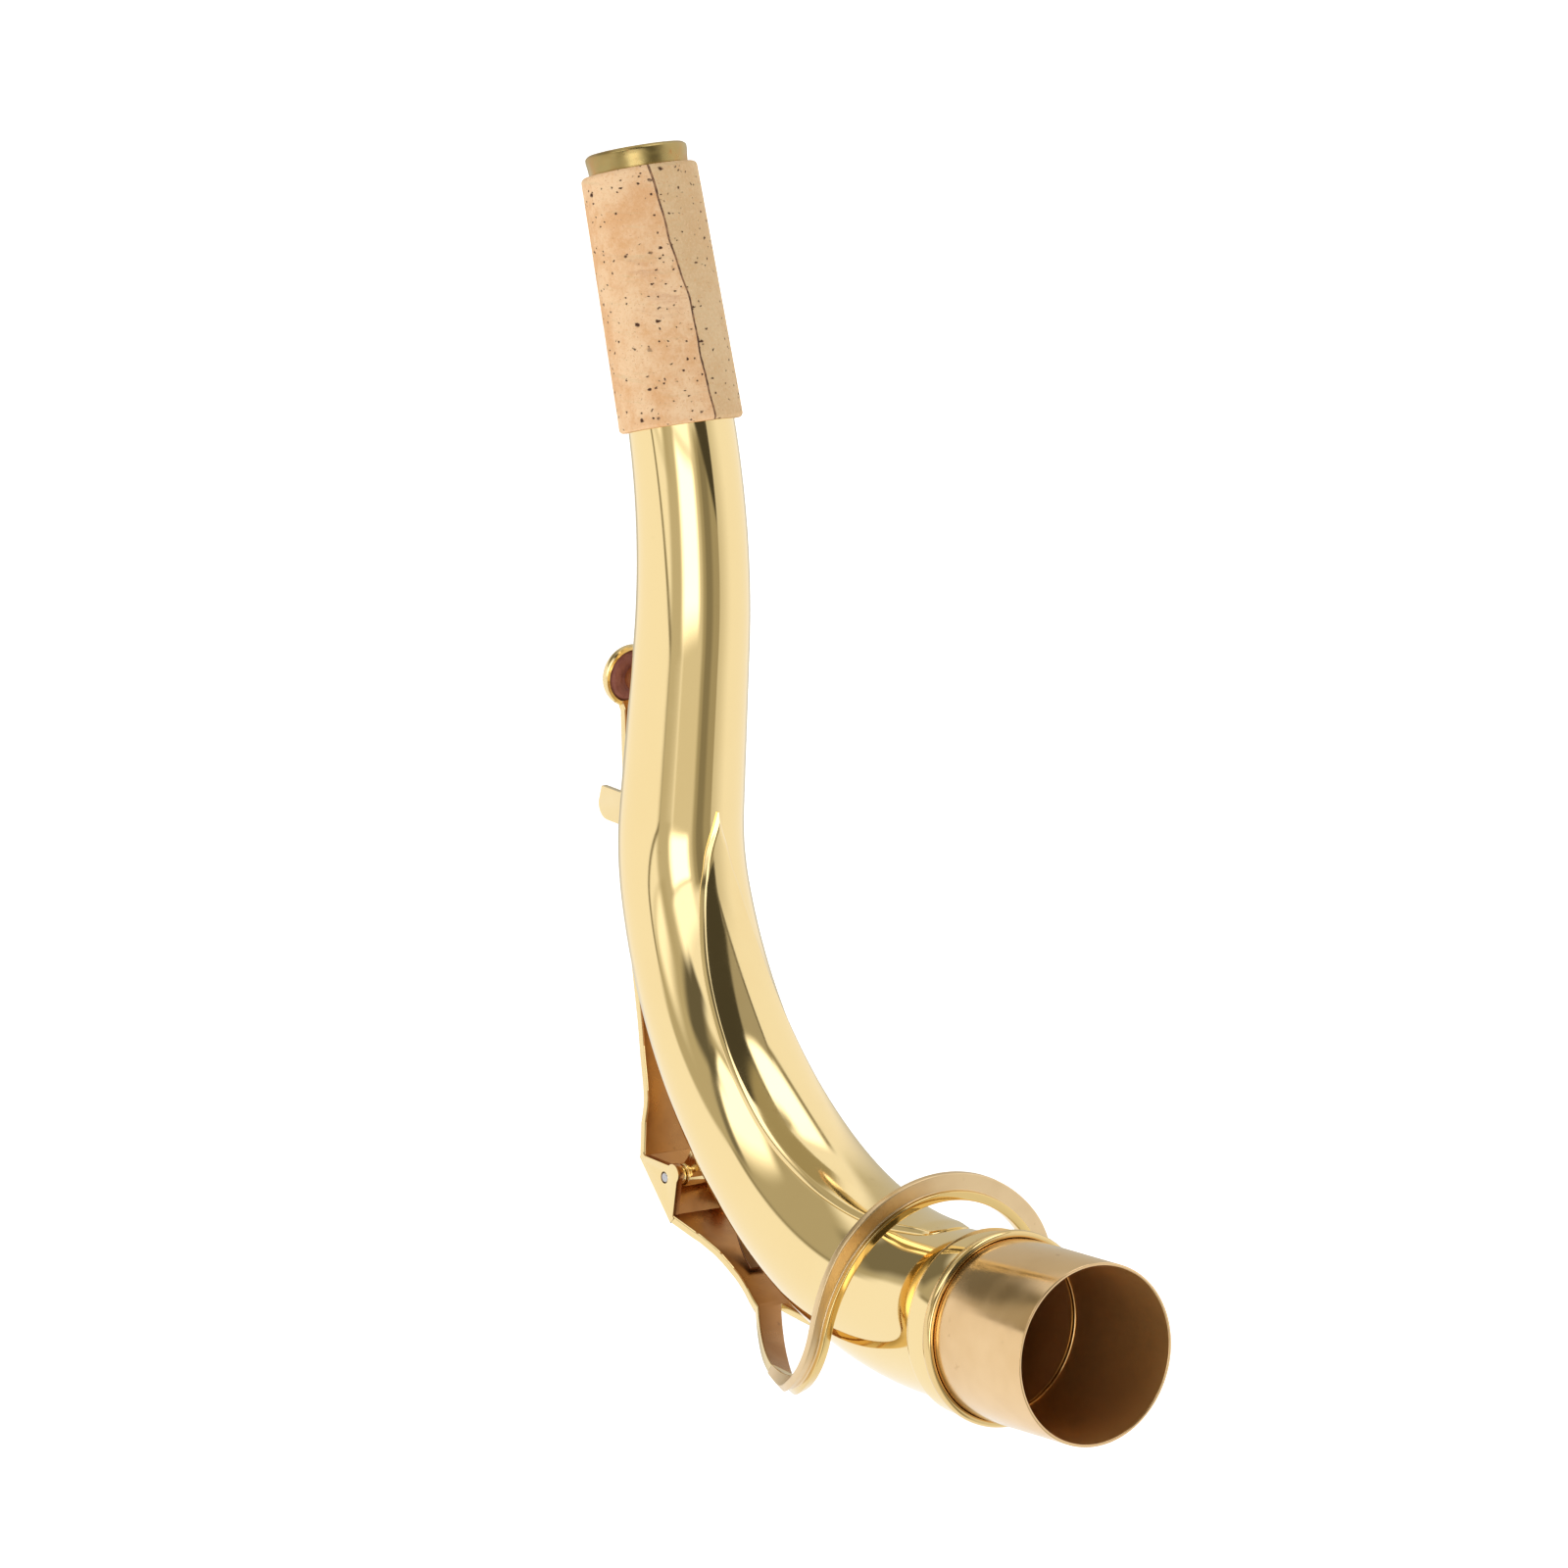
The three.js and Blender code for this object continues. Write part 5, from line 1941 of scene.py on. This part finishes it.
    def _collar(self, side: Side) -> Object:
        """A collar between an ear and the barrel.

        Args:
            side: Which side it is on.

        Returns:
            The collar.
        """
        near = self.barrel_half + self.gap
        far = near + self.collar_length + self.gap / 2
        bore, radius = self.rod_bore - self.gap / 2, self.collar_radius
        waist = radius - self.collar_waist
        profile = filleted(
            [
                (bore, near),
                (radius, near),
                (radius, near + 0.5),
                (waist, near + 0.7),
                (waist, far - 0.7),
                (radius, far - 0.5),
                (radius, far),
                (bore, far),
            ],
            0.12,
        )
        if side is Side.NEAR:
            profile = [(r, -h) for r, h in reversed(profile)]
        name = side.name.lower()
        piece = self._rod(f"pivot_collar_{name}", profile)
        materials = [self.finishes.key]
        return FITTER.fit(piece, KEY_BODY, materials, "lacquered_brass", f"hinge_collar_{name}")

    def _pin(self) -> Object:
        """The pivot rod, plain at the near ear and with a slotted head at the far one.

        Returns:
            The rod.
        """
        radius, head = self.rod_radius, self.yoke_half_width + self.gap / 2
        top = head + self.head_height
        near = -self.yoke_half_width
        profile = filleted(
            [
                (ON_AXIS, near),
                (radius - 0.15, near),
                (radius, near + 0.2),
                (radius, head),
                (self.head_radius, head),
                (self.head_radius, top),
                (ON_AXIS, top),
            ],
            0.15,
        )
        rod = self._rod("pivot_rod", profile)
        outline = box(-3, -self.slot_half_width, 3, self.slot_half_width)
        slot = self._plate("rod_slot", outline, top - 0.3, top + 1)
        WORKSHOP.combined(rod, [slot], "DIFFERENCE")
        return FITTER.fit(rod, KEY_BODY, [self.finishes.steel], "rod_steel", "hinge_rod")


def path_normal(middles: Sequence[Vector], i: int, first: Vector) -> Vector:
    """The way out from a path in the plane of the bend.

    Args:
        middles: Points of the path.
        i: Number of the point.
        first: A way that points outward.

    Returns:
        A unit way, square to the path at the point.
    """
    way = middles[min(i + 1, len(middles) - 1)] - middles[max(i - 1, 0)]
    normal = Vector((-way.z, 0, way.x)).normalized()
    return -normal if normal.dot(first) < 0 else normal


# ---------------------------------------------------------------------------
# The octave key
# ---------------------------------------------------------------------------


@dataclass
class PadCup(Assembly):
    """The pad cup and its leather pad."""

    station: float = 137.65
    pad_lift: float = 5.7
    rim_lift: float = 5.9
    radius: float = 4.8
    depth: float = 1.9
    wall: float = 0.55
    lip: float = 0.85
    corner: float = 1.3
    pad_radius: float = 3.88
    pad_thickness: float = 1.33
    pad_crown: float = 0.16
    pad_edge: float = 0.42
    pad_edge_start: float = 0.86
    mark_depth: float = 0.1
    mark_radius: float = 2.05
    mark_width: float = 0.28
    sides: int = 80

    def build(self) -> list[Object]:
        """Makes the cup and the pad."""
        return [self._cup(), self._pad()]

    def _cup(self) -> Object:
        """The turned cup, with a rolled rim.

        Returns:
            The cup.
        """
        frame = self.line.frame(self.station)
        rim = self.line.radius(self.station) + self.rim_lift
        back = rim + self.depth
        inner = self.radius - self.wall
        lip = self.radius - self.lip
        curve = []
        for angle in spaced(0, math.pi / 2, 8):
            r = self.radius - self.corner + self.corner * math.cos(angle)
            curve.append((r, back - self.corner + self.corner * math.sin(angle)))
        outline = [(inner, rim + 0.5), (lip, rim + 0.32), (lip + 0.05, rim + 0.12)]
        outline += [(lip + 0.2, rim), (self.radius - 0.2, rim), (self.radius, rim + 0.2)]
        outline += [*curve, (ON_AXIS, back), (ON_AXIS, back - self.wall), (inner, back - self.wall)]
        shell = Shell.turned(outline, frame.point, frame.outer, self.sides)
        piece = WORKSHOP.mesh("cup", shell)
        return FITTER.fit(piece, KEY_BODY, [self.finishes.key], "lacquered_brass", "pad_cup")

    def _pad(self) -> Object:
        """The stuffed pad, crowned, with the mark of the pip's rim.

        Returns:
            The pad.
        """
        frame = self.line.frame(self.station)
        face = self.line.radius(self.station) + self.pad_lift
        top = face + self.pad_thickness
        outline = [(ON_AXIS, face - self.pad_crown)]
        for t in spaced(0.08, 1, 26):
            r = self.pad_radius * t
            crown = -self.pad_crown * (1 - t**4)
            mark = self.mark_depth * math.exp(-(((r - self.mark_radius) / self.mark_width) ** 2))
            edge = self.pad_edge * smoothstep(t, self.pad_edge_start, 1.0) ** 2
            outline.append((r, face + crown + mark + edge))
        outline += [(self.pad_radius, top - 0.1), (self.pad_radius - 0.2, top), (ON_AXIS, top)]
        shell = Shell.turned(outline, frame.point, frame.outer, self.sides)
        piece = WORKSHOP.mesh("leather_pad", shell)
        FITTER.fit(piece, KEY_BODY, [self.finishes.leather], "pad_leather", "octave_pad")
        return piece


@dataclass
class KeyArms(Assembly):
    """The upper and lower arms of the key, with the fork's prongs and the ring."""

    hinge: Hinge
    thickness: ClassVar[float] = 1.4
    lift_unit: ClassVar[float] = 12.3
    fork_lift_share: ClassVar[float] = 0.63
    edge: float = 0.34
    root: float = 5.7
    root_gap: float = 0.02
    cup_lift: float = 6.2
    cup_steps: tuple[Pair, ...] = ((0.6, 0.55), (1.2, 0.8))
    pad_half_width: float = 1.7
    upper_end: float = 132.55
    upper: Table = Table(
        (0.034, 0.082, 0.177, 0.256, 0.351, 0.429, 0.61, 0.807, 0.885, 1),
        (0.883, 0.778, 0.598, 0.487, 0.409, 0.386, 0.358, 0.363, 0.42, 0.504),
    )
    upper_width: Table = Table(
        (0.0, 0.034, 0.082, 0.177, 0.256, 0.351, 0.429, 0.61, 0.807, 1),
        (1.0, 0.7, 0.43, 0.35, 0.27, 0.19, 0.11, 0.04, 0.0, 0.0),
    )
    fork_station: float = 51.7
    lower: Table = Table(
        (0.12, 0.25, 0.377, 0.6, 0.75, 0.889, 1),
        (0.837, 0.756, 0.695, 0.654, 0.642, 0.634, 0.63),
    )
    lower_width: Table = Table(
        (0.0, 0.12, 0.25, 0.377, 0.6, 0.75, 0.889, 1),
        (6.38, 4.6, 4.14, 3.85, 3.5, 3.65, 4.13, 4.4),
    )
    prong_width: float = 3.8
    prong_start_y: float = 2.3
    prong_start_reach: float = 26.3
    prong_end_reach: float = 9.7
    prong_spread: float = math.radians(30)
    prong_dive: float = math.radians(1.4)
    split: float = 0.3
    taper: Pair = (0.2, 0.7)
    ring_station: float = 19.5
    ring_drop: float = 4.95
    ring_tilt: float = math.radians(4.8)
    ring_half_height: float = 21.8
    ring_half_width: float = 19.5
    band_width: float = 2.1
    flange_height: float = 2.45
    flange_thickness: float = 1.2
    foot_angle: float = math.radians(81.4)
    flange_start: float = 0.57
    flange_foot: float = 0.6
    flange_least: float = 0.1
    bend_flange_end: float = 0.62

    @classmethod
    def fork_lift(cls) -> float:
        """Height of the lower arm's outer face over the tube at the fork."""
        return cls.lift_unit * cls.fork_lift_share

    def build(self) -> list[Object]:
        """Makes the upper arm, the lower arm and the ring."""
        return [self._upper_arm(), self._lower_arm(), self._ring()]

    def _strip(self, name: str, middles: Sequence[Vector], widths: Sequence[float]) -> Object:
        """A strip with softened edges along a path in the plane of the bend.

        Args:
            name: Name of the new object.
            middles: Points of its path.
            widths: Its half width at each.

        Returns:
            The strip.
        """
        half = self.thickness / 2
        sections = []
        for i, (middle, width) in enumerate(zip(middles, widths, strict=True)):
            up = path_normal(middles, i, self.hinge.frame.outer)
            sections.append(bar_section(middle, SIDEWAYS, up, (width, half), self.edge))
        return WORKSHOP.mesh(name, Shell.swept(sections))

    def _upper_arm(self) -> Object:
        """The upper arm, from the yoke to the cup.

        Returns:
            The arm.
        """
        hinge = self.hinge
        start = hinge.station + hinge.yoke_half_length
        half = self.thickness / 2
        middles = [hinge.at(-self.root, hinge.yoke_rise - half)]
        widths = [hinge.yoke_half_width - self.root_gap]
        for share in spaced(self.upper.places[0], 1.0, 60):
            s = start + (self.upper_end - start) * share
            middles.append(self.line.over(s, self.lift_unit * self.upper.at(share) - half))
            wide = hinge.yoke_half_width - self.pad_half_width
            widths.append(self.pad_half_width + wide * self.upper_width.at(share))
        for away, lift in self.cup_steps:
            middles.append(self.line.over(self.upper_end + away, self.cup_lift + lift - half))
            widths.append(self.pad_half_width)
        piece = self._strip("upper_arm", middles, widths)
        # painted shade: the arm's faces that look at the tube get the darker underside brass
        FITTER.paint_inner_shade(piece, self.line)
        materials = [self.finishes.key, self.finishes.underside]
        return FITTER.fit(piece, KEY_BODY, materials, "lacquered_brass", "key_upper_arm")

    def _ring_axes(self) -> tuple[Vector, Vector, Vector]:
        """The ring's centre, its long way and its front.

        Returns:
            A point and two unit ways.
        """
        frame = self.line.frame(self.ring_station)
        tilt = Quaternion(SIDEWAYS, self.ring_tilt)
        centre = frame.point + frame.outer * self.ring_drop
        return centre, tilt @ frame.inner, tilt @ -frame.along

    def _ring_point(self, angle: float) -> Vector:
        """Middle of the ring's band at an angle from the top.

        Args:
            angle: Angle about the ring's centre.

        Returns:
            The point.
        """
        centre, up, _ = self._ring_axes()
        half = self.thickness / 2
        high = (self.ring_half_height + half) * math.cos(angle)
        return centre + up * high + SIDEWAYS * ((self.ring_half_width + half) * math.sin(angle))

    def _ring_outward(self, angle: float) -> Vector:
        """The way out of the ring at an angle.

        Args:
            angle: Angle about the ring's centre.

        Returns:
            A unit way.
        """
        _, up, _ = self._ring_axes()
        way = up * (math.cos(angle) / self.ring_half_height)
        return (way + SIDEWAYS * (math.sin(angle) / self.ring_half_width)).normalized()

    def _ring_along(self, angle: float) -> Vector:
        """The way along the ring at an angle, from the top down.

        Args:
            angle: Angle about the ring's centre.

        Returns:
            A unit way.
        """
        _, up, _ = self._ring_axes()
        way = up * (-self.ring_half_height * math.sin(angle))
        return (way + SIDEWAYS * (self.ring_half_width * math.cos(angle))).normalized()

    def _prong_curve(self, side: Side) -> list[Vector]:
        """The four control points of a prong's path.

        Args:
            side: Which side the prong is on.

        Returns:
            The points, from the fork.
        """
        sign = side.value
        frame = self.line.frame(self.fork_station)
        lift = self.fork_lift() - self.thickness / 2
        start = self.line.over(self.fork_station, lift, sign * self.prong_start_y)
        level = Quaternion(SIDEWAYS, -self.prong_dive) @ -frame.along
        aside = SIDEWAYS * (sign * math.sin(self.prong_spread))
        leave = level * math.cos(self.prong_spread) + aside
        angle = sign * self.foot_angle
        end = self._ring_point(angle)
        arrive = self._ring_along(angle) * -sign
        return [
            start,
            start + leave * self.prong_start_reach,
            end - arrive * self.prong_end_reach,
            end,
        ]

    def _prong_frame(self, side: Side, share: float) -> tuple[Vector, Vector, Vector]:
        """A prong's middle, its outward way and its width way at a share of its length.

        Args:
            side: Which side the prong is on.
            share: How far along it, from 0 to 1.

        Returns:
            A point and two unit ways.
        """
        a, b, c, d = self._prong_curve(side)
        rest = 1 - share
        middle = a * rest**3 + b * (3 * rest**2 * share) + c * (3 * rest * share**2) + d * share**3
        along = (b - a) * rest**2 + (c - b) * (2 * rest * share) + (d - c) * share**2
        along.normalize()
        turn = smoothstep(share, 0.0, 1.0)
        outward = self.line.frame(self.fork_station).outer * (1 - turn)
        outward += self._ring_outward(side.value * self.foot_angle) * turn
        outward -= along * outward.dot(along)
        outward.normalize()
        return middle, outward, along.cross(outward).normalized()

    def _band(self, share: float) -> float:
        """Width of the band at a share of the prong's path, which narrows to the loop's."""
        narrow = smoothstep(share, *self.taper)
        return self.prong_width + (self.band_width - self.prong_width) * narrow

    def _prong(self, side: Side) -> Object:
        """The plain part of a prong, from inside the arm to the ring piece.

        Args:
            side: Which side it is on.

        Returns:
            The prong.
        """
        half = self.thickness / 2
        sections = []
        for share in spaced(-0.03, self.split, 18):
            middle, outward, across = self._prong_frame(side, share)
            halves = (self._band(share) / 2, half)
            sections.append(bar_section(middle, across, outward, halves, self.edge))
        return WORKSHOP.mesh(f"prong_{side.name.lower()}", Shell.swept(sections))

    def _lower_arm(self) -> Object:
        """The lower arm, waisted, with its two prongs.

        Returns:
            The arm, as one piece with its prongs.
        """
        hinge = self.hinge
        start = hinge.station - hinge.yoke_half_length
        half = self.thickness / 2
        middles = [hinge.at(self.root, hinge.yoke_rise - half)]
        widths = [hinge.yoke_half_width - self.root_gap]
        for share in spaced(self.lower.places[0], 1.0, 40):
            s = start + (self.fork_station - start) * share
            middles.append(self.line.over(s, self.lift_unit * self.lower.at(share) - half))
            widths.append(self.lower_width.at(share))
        arm = self._strip("lower_arm", middles, widths)
        WORKSHOP.combined(arm, [self._prong(side) for side in Side])
        # painted shade: the arm's faces that look at the tube get the darker underside brass
        FITTER.paint_inner_shade(arm, self.line)
        materials = [self.finishes.key, self.finishes.underside]
        return FITTER.fit(arm, KEY_BODY, materials, "lacquered_brass", "key_lower_arm")

    def _angle_section(
        self, middle: Vector, outward: Vector, front: Vector, band: float, flange: float
    ) -> list[Vector]:
        """A section of the ring: the hoop's band and the flange at its back.

        Args:
            middle: Middle of the band.
            outward: The way out of the ring.
            front: The way to the front.
            band: Width of the band.
            flange: Height of the flange.

        Returns:
            The section's corners.
        """
        half, side = self.thickness / 2, band / 2
        face = self.flange_thickness - side
        corners = [
            (-side, -half),
            (side, -half),
            (side, half),
            (face, half),
            (face, half + flange),
            (-side, half + flange),
        ]
        outline = filleted(corners, min(0.22, 0.4 * flange + 0.05), 3)
        return [middle + front * a + outward * b for a, b in outline]

    def _ring(self) -> Object:
        """The ring: a bend from each prong and the loop over the tube.

        Returns:
            The ring.
        """
        _, _, front = self._ring_axes()
        bends = {side: self._bend(side) for side in Side}
        loop = []
        for share in spaced(-1, 1, 150):
            angle = self.foot_angle * share
            down = smoothstep(abs(share), self.flange_start, 1.0)
            rise = self.flange_height * (1 - (1 - self.flange_foot) * down)
            height = self.flange_least + rise
            middle, outward = self._ring_point(angle), self._ring_outward(angle)
            loop.append(self._angle_section(middle, outward, front, self.band_width, height))
        sections = [*bends[Side.NEAR], *loop, *reversed(bends[Side.FAR])]
        hoop_corners = 12
        shell = Shell.swept(sections, finish_of=lambda k: 0 if k < hoop_corners else 1)
        piece = WORKSHOP.mesh("ring_loop", shell)
        materials = [self.finishes.hoop, self.finishes.brushed]
        return FITTER.fit(piece, KEY_BODY, materials, "satin_brass", "octave_ring")

    def _bend(self, side: Side) -> list[list[Vector]]:
        """The sections of the bend between a prong and the loop.

        Args:
            side: Which side it is on.

        Returns:
            The sections, from the prong.
        """
        _, _, front = self._ring_axes()
        sections = []
        for share in spaced(self.split + 0.001, 1.0, 56)[:-1]:
            middle, outward, across = self._prong_frame(side, share)
            facing = across if across.dot(front) > 0 else -across
            grown = self.flange_foot * smoothstep(share, self.split, self.bend_flange_end)
            height, band = self.flange_least + self.flange_height * grown, self._band(share)
            sections.append(self._angle_section(middle, outward, facing, band, height))
        return sections


# ---------------------------------------------------------------------------
# Studio
# ---------------------------------------------------------------------------


@dataclass(frozen=True)
class WallPatch:
    """A soft-edged part of the studio's walls, in degrees as seen from the neck.

    The turn is 0 towards the camera's end and grows to the picture's right; the climb is 0 level.
    A slanted patch climbs by its slant for each degree of turn.
    """

    level: Colour
    turn: Pair
    climb: Pair
    turn_soft: Pair
    climb_soft: Pair
    slant: float = 0.0


def grey(level: float, warm: float = 0.0) -> Colour:
    """A grey light of a level, warmed by the share of its blue that is missing."""
    return (level, level * (1 - 0.25 * warm), level * (1 - warm))


@dataclass(frozen=True)
class StudioWalls:
    """The light from all round: white walls, a dim end with soft boxes behind the camera.

    Each patch lies over those before it. The front is the way to the camera's end.
    """

    front: Triple
    white: Colour = grey(1.03, 0.02)
    patches: tuple[WallPatch, ...] = (
        # the dim ceiling, and the dim left-hand side up to the tall box
        WallPatch(grey(0.36, 0.4), (-400, 400), (66, 130), (6, 6), (12, 6)),
        WallPatch(grey(0.48, 0.25), (-124, -30), (19, 66), (22, 10), (4, 14)),
        WallPatch(grey(0.34, 0.3), (-112, -80), (16.5, 20), (10, 6), (3, 3)),
        # below the boxes: half-lit, with a thin slanted line and a post in the dark stretch
        WallPatch(grey(0.74, 0.15), (-17, 80), (-130, 17), (5, 30), (6, 6)),
        WallPatch(grey(0.58, 0.2), (-45, -19), (-18, 24), (10, 8), (4, 10)),
        WallPatch(grey(0.3, 0.25), (-76, -42), (-38.5, -35.5), (6, 4), (2, 3), -0.54),
        WallPatch(grey(0.4, 0.28), (20, 60), (-80, 16), (8, 12), (4, 6)),
        WallPatch(grey(0.26, 0.3), (27, 41), (-80, 14), (5, 8), (4, 6)),
        # the left-hand bay: its lamp, the tall box over it and the dark edge between them
        WallPatch(grey(0.52, 0.25), (-84, -34), (3, 34), (5, 10), (4, 6)),
        WallPatch(grey(1.3), (-68, -46), (4, 13), (14, 12), (4, 10)),
        WallPatch(grey(1.9), (-78, -36), (57, 84), (18, 8), (4, 10), 0.4),
        WallPatch(grey(0.2, 0.25), (-84, -38), (53, 57), (8, 8), (3, 3), 0.4),
        WallPatch(grey(0.14, 0.25), (-56, -18), (22, 37), (10, 7), (6, 7)),
        # the dark end behind the camera, its bright upper bay and the lines by it
        WallPatch(grey(0.07, 0.3), (-36, 66), (34, 160), (8, 6), (4, 6), -0.6),
        WallPatch(grey(0.38, 0.4), (-400, 26), (67, 130), (6, 12), (6, 6)),
        WallPatch(grey(0.42, 0.2), (30, 92), (116, 260), (4, 8), (8, 9), -1.5),
        WallPatch(grey(1.0, 0.02), (58, 220), (-400, -41), (4, 6), (6, 3), 1.1),
        WallPatch(grey(0.7, 0.12), (56, 71), (-80, 24), (3, 34), (6, 14)),
        WallPatch(grey(0.16, 0.25), (54, 88), (-43.5, -39), (6, 4), (3, 3), 1.1),
        WallPatch(grey(2.2), (36, 150), (60, 82), (10, 14), (5, 8)),
        WallPatch(grey(0.3, 0.3), (84, 152), (53.5, 57.5), (8, 10), (3, 3)),
        # the two main boxes
        WallPatch(grey(1.5), (-26, 13), (12, 25), (12, 10), (3, 7)),
        WallPatch(grey(2.4), (-20, 12), (-14, 10), (13, 9), (8, 5)),
        # behind the neck's large end
        WallPatch(grey(0.58, 0.2), (158, 181), (-14, 48), (20, 1), (10, 12)),
        WallPatch(grey(0.58, 0.2), (-181, -152), (-14, 48), (1, 18), (10, 12)),
        WallPatch(grey(0.2, 0.3), (-154, -114), (23, 44), (14, 10), (7, 10)),
    )

    def build(self) -> None:
        """Makes the world and gives it to the scene."""
        world = bpy.data.worlds.new("studio_walls")
        world.use_nodes = True
        bpy.context.scene.world = world
        world.node_tree.nodes.clear()
        nodes = Nodes(world.node_tree)
        turn, climb = self._angles(nodes)
        colour: Colour | NodeSocket = self.white
        for patch in self.patches:
            across = self._window(nodes, turn, patch.turn, patch.turn_soft)
            height = climb
            if patch.slant:
                height = nodes.maths("SUBTRACT", climb, nodes.maths("MULTIPLY", turn, patch.slant))
            up = self._window(nodes, height, patch.climb, patch.climb_soft)
            colour = nodes.mixed(nodes.maths("MULTIPLY", across, up), colour, patch.level)
        self._output(nodes, colour)

    def _angles(self, nodes: Nodes) -> tuple[NodeSocket, NodeSocket]:
        """The turn and the climb of the direction looked in, in degrees.

        Args:
            nodes: The world's nodes.

        Returns:
            Both angles.
        """
        place = nodes.node("ShaderNodeTexCoord").outputs["Generated"]
        up = Vector((0, 0, 1))
        front = Vector((self.front[0], self.front[1], 0)).normalized()
        shares = []
        for way in (up.cross(front), front, up):
            node = nodes.node("ShaderNodeVectorMath", operation="DOT_PRODUCT")
            node.inputs[1].default_value = way
            nodes.link(place, node.inputs[0])
            shares.append(node.outputs["Value"])
        turn = nodes.maths("ARCTAN2", shares[0], shares[1])
        climb = nodes.maths("ARCSINE", shares[2])
        degrees = math.degrees(1)
        return nodes.maths("MULTIPLY", turn, degrees), nodes.maths("MULTIPLY", climb, degrees)

    def _window(self, nodes: Nodes, value: NodeSocket, span: Pair, soft: Pair) -> NodeSocket:
        """A soft window over a span of angles.

        Args:
            nodes: The world's nodes.
            value: The angle.
            span: Where the window lies.
            soft: How wide its two edges are.

        Returns:
            1 inside and 0 outside.
        """
        edges = [
            nodes.ranged(value, (edge - width / 2, edge + width / 2), ends)
            for edge, width, ends in zip(span, soft, ((0.0, 1.0), (1.0, 0.0)), strict=True)
        ]
        return nodes.maths("MULTIPLY", edges[0], edges[1])

    def _output(self, nodes: Nodes, colour: NodeSocket) -> None:
        """Shows plain white to the camera and the walls to everything else.

        Args:
            nodes: The world's nodes.
            colour: The walls' colour.
        """
        light = nodes.node("ShaderNodeBackground")
        nodes.link(colour, light.inputs["Color"])
        plain = nodes.node("ShaderNodeBackground")
        plain.inputs["Color"].default_value = (1.0, 1.0, 1.0, 1.0)
        seen = nodes.node("ShaderNodeLightPath")
        choice = nodes.node("ShaderNodeMixShader")
        nodes.link(seen.outputs["Is Camera Ray"], choice.inputs["Fac"])
        nodes.link(light.outputs["Background"], choice.inputs[1])
        nodes.link(plain.outputs["Background"], choice.inputs[2])
        output = nodes.node("ShaderNodeOutputWorld")
        nodes.link(choice.outputs["Shader"], output.inputs["Surface"])


@dataclass
class Studio:
    """The pale floor, the lights and the camera."""

    camera_place: Triple = (2.043108, -1.453558, 0.560360)
    camera_right: Triple = (0.5708682, 0.82096421, -0.01128114)
    camera_up: Triple = (-0.14748924, 0.11605573, 0.98223113)
    camera_back: Triple = (0.80768584, -0.55906067, 0.18733592)
    lens: float = 400.3
    sensor: float = 36.0
    floor_height: float = -0.045
    floor_reach: float = 9.0
    lamp_place: Triple = (-0.3, -0.9, 1.7)
    lamp_aim: Triple = (-0.05, 0.0, 0.07)
    lamp_width: float = 1.2
    lamp_power: float = 4.0

    def build(self) -> None:
        """Makes the floor, the lights and the camera."""
        self._floor()
        StudioWalls(self.camera_back).build()
        self._lamp()
        self._camera()

    def _floor(self) -> None:
        """Makes the floor, which the brass doesn't mirror: the walls' lower half stands in."""
        data = bpy.data.meshes.new("studio_floor")
        bm = bmesh.new()
        bmesh.ops.create_grid(bm, x_segments=2, y_segments=2, size=self.floor_reach)
        bm.to_mesh(data)
        bm.free()
        floor = bpy.data.objects.new("studio_floor", data)
        floor.location.z = self.floor_height
        floor.visible_glossy = False
        data.materials.append(StudioFloorFinish().build())
        bpy.context.scene.collection.objects.link(floor)

    def _lamp(self) -> None:
        """Adds one wide, soft lamp overhead."""
        data = bpy.data.lights.new("top_lamp", "AREA")
        data.shape = "DISK"
        data.size = self.lamp_width
        data.energy = self.lamp_power
        lamp = bpy.data.objects.new("top_lamp", data)
        lamp.location = self.lamp_place
        lamp.visible_glossy = False
        aim = Vector(self.lamp_aim) - lamp.location
        lamp.rotation_euler = aim.to_track_quat("-Z", "Y").to_euler()
        bpy.context.scene.collection.objects.link(lamp)

    def _camera(self) -> None:
        """Sets the camera as the photograph's stood."""
        data = bpy.data.cameras.new("camera")
        data.sensor_width = self.sensor
        data.lens = self.lens
        data.clip_end = 100.0
        camera = bpy.data.objects.new("camera", data)
        columns = (self.camera_right, self.camera_up, self.camera_back)
        turn = Matrix([[column[row] for column in columns] for row in range(3)]).to_4x4()
        camera.matrix_world = Matrix.Translation(self.camera_place) @ turn
        bpy.context.scene.collection.objects.link(camera)
        bpy.context.scene.camera = camera
        bpy.context.scene.view_settings.view_transform = "Standard"


def main() -> None:
    """Dresses the neck."""
    logging.basicConfig(level=logging.INFO, format="%(message)s")
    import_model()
    line = NeckLine()
    finishes = Finishes(Cork.seam_place(line))
    hinge = Hinge(line, finishes)
    assemblies = (
        NeckTube(line, finishes),
        Cork(line, finishes),
        MouthRing(line, finishes),
        BraceLeaf(line, finishes),
        Tenon(line, finishes),
        OctavePip(line, finishes),
        KeyGuide(line, finishes),
        hinge,
        PadCup(line, finishes),
        KeyArms(line, finishes, hinge),
    )
    for assembly in assemblies:
        pieces = assembly.build()
        log.info("%s: %s", type(assembly).__name__, ", ".join(p.name for p in pieces))
    Studio().build()
    bpy.context.view_layer.update()


if __name__ == "__main__":
    main()
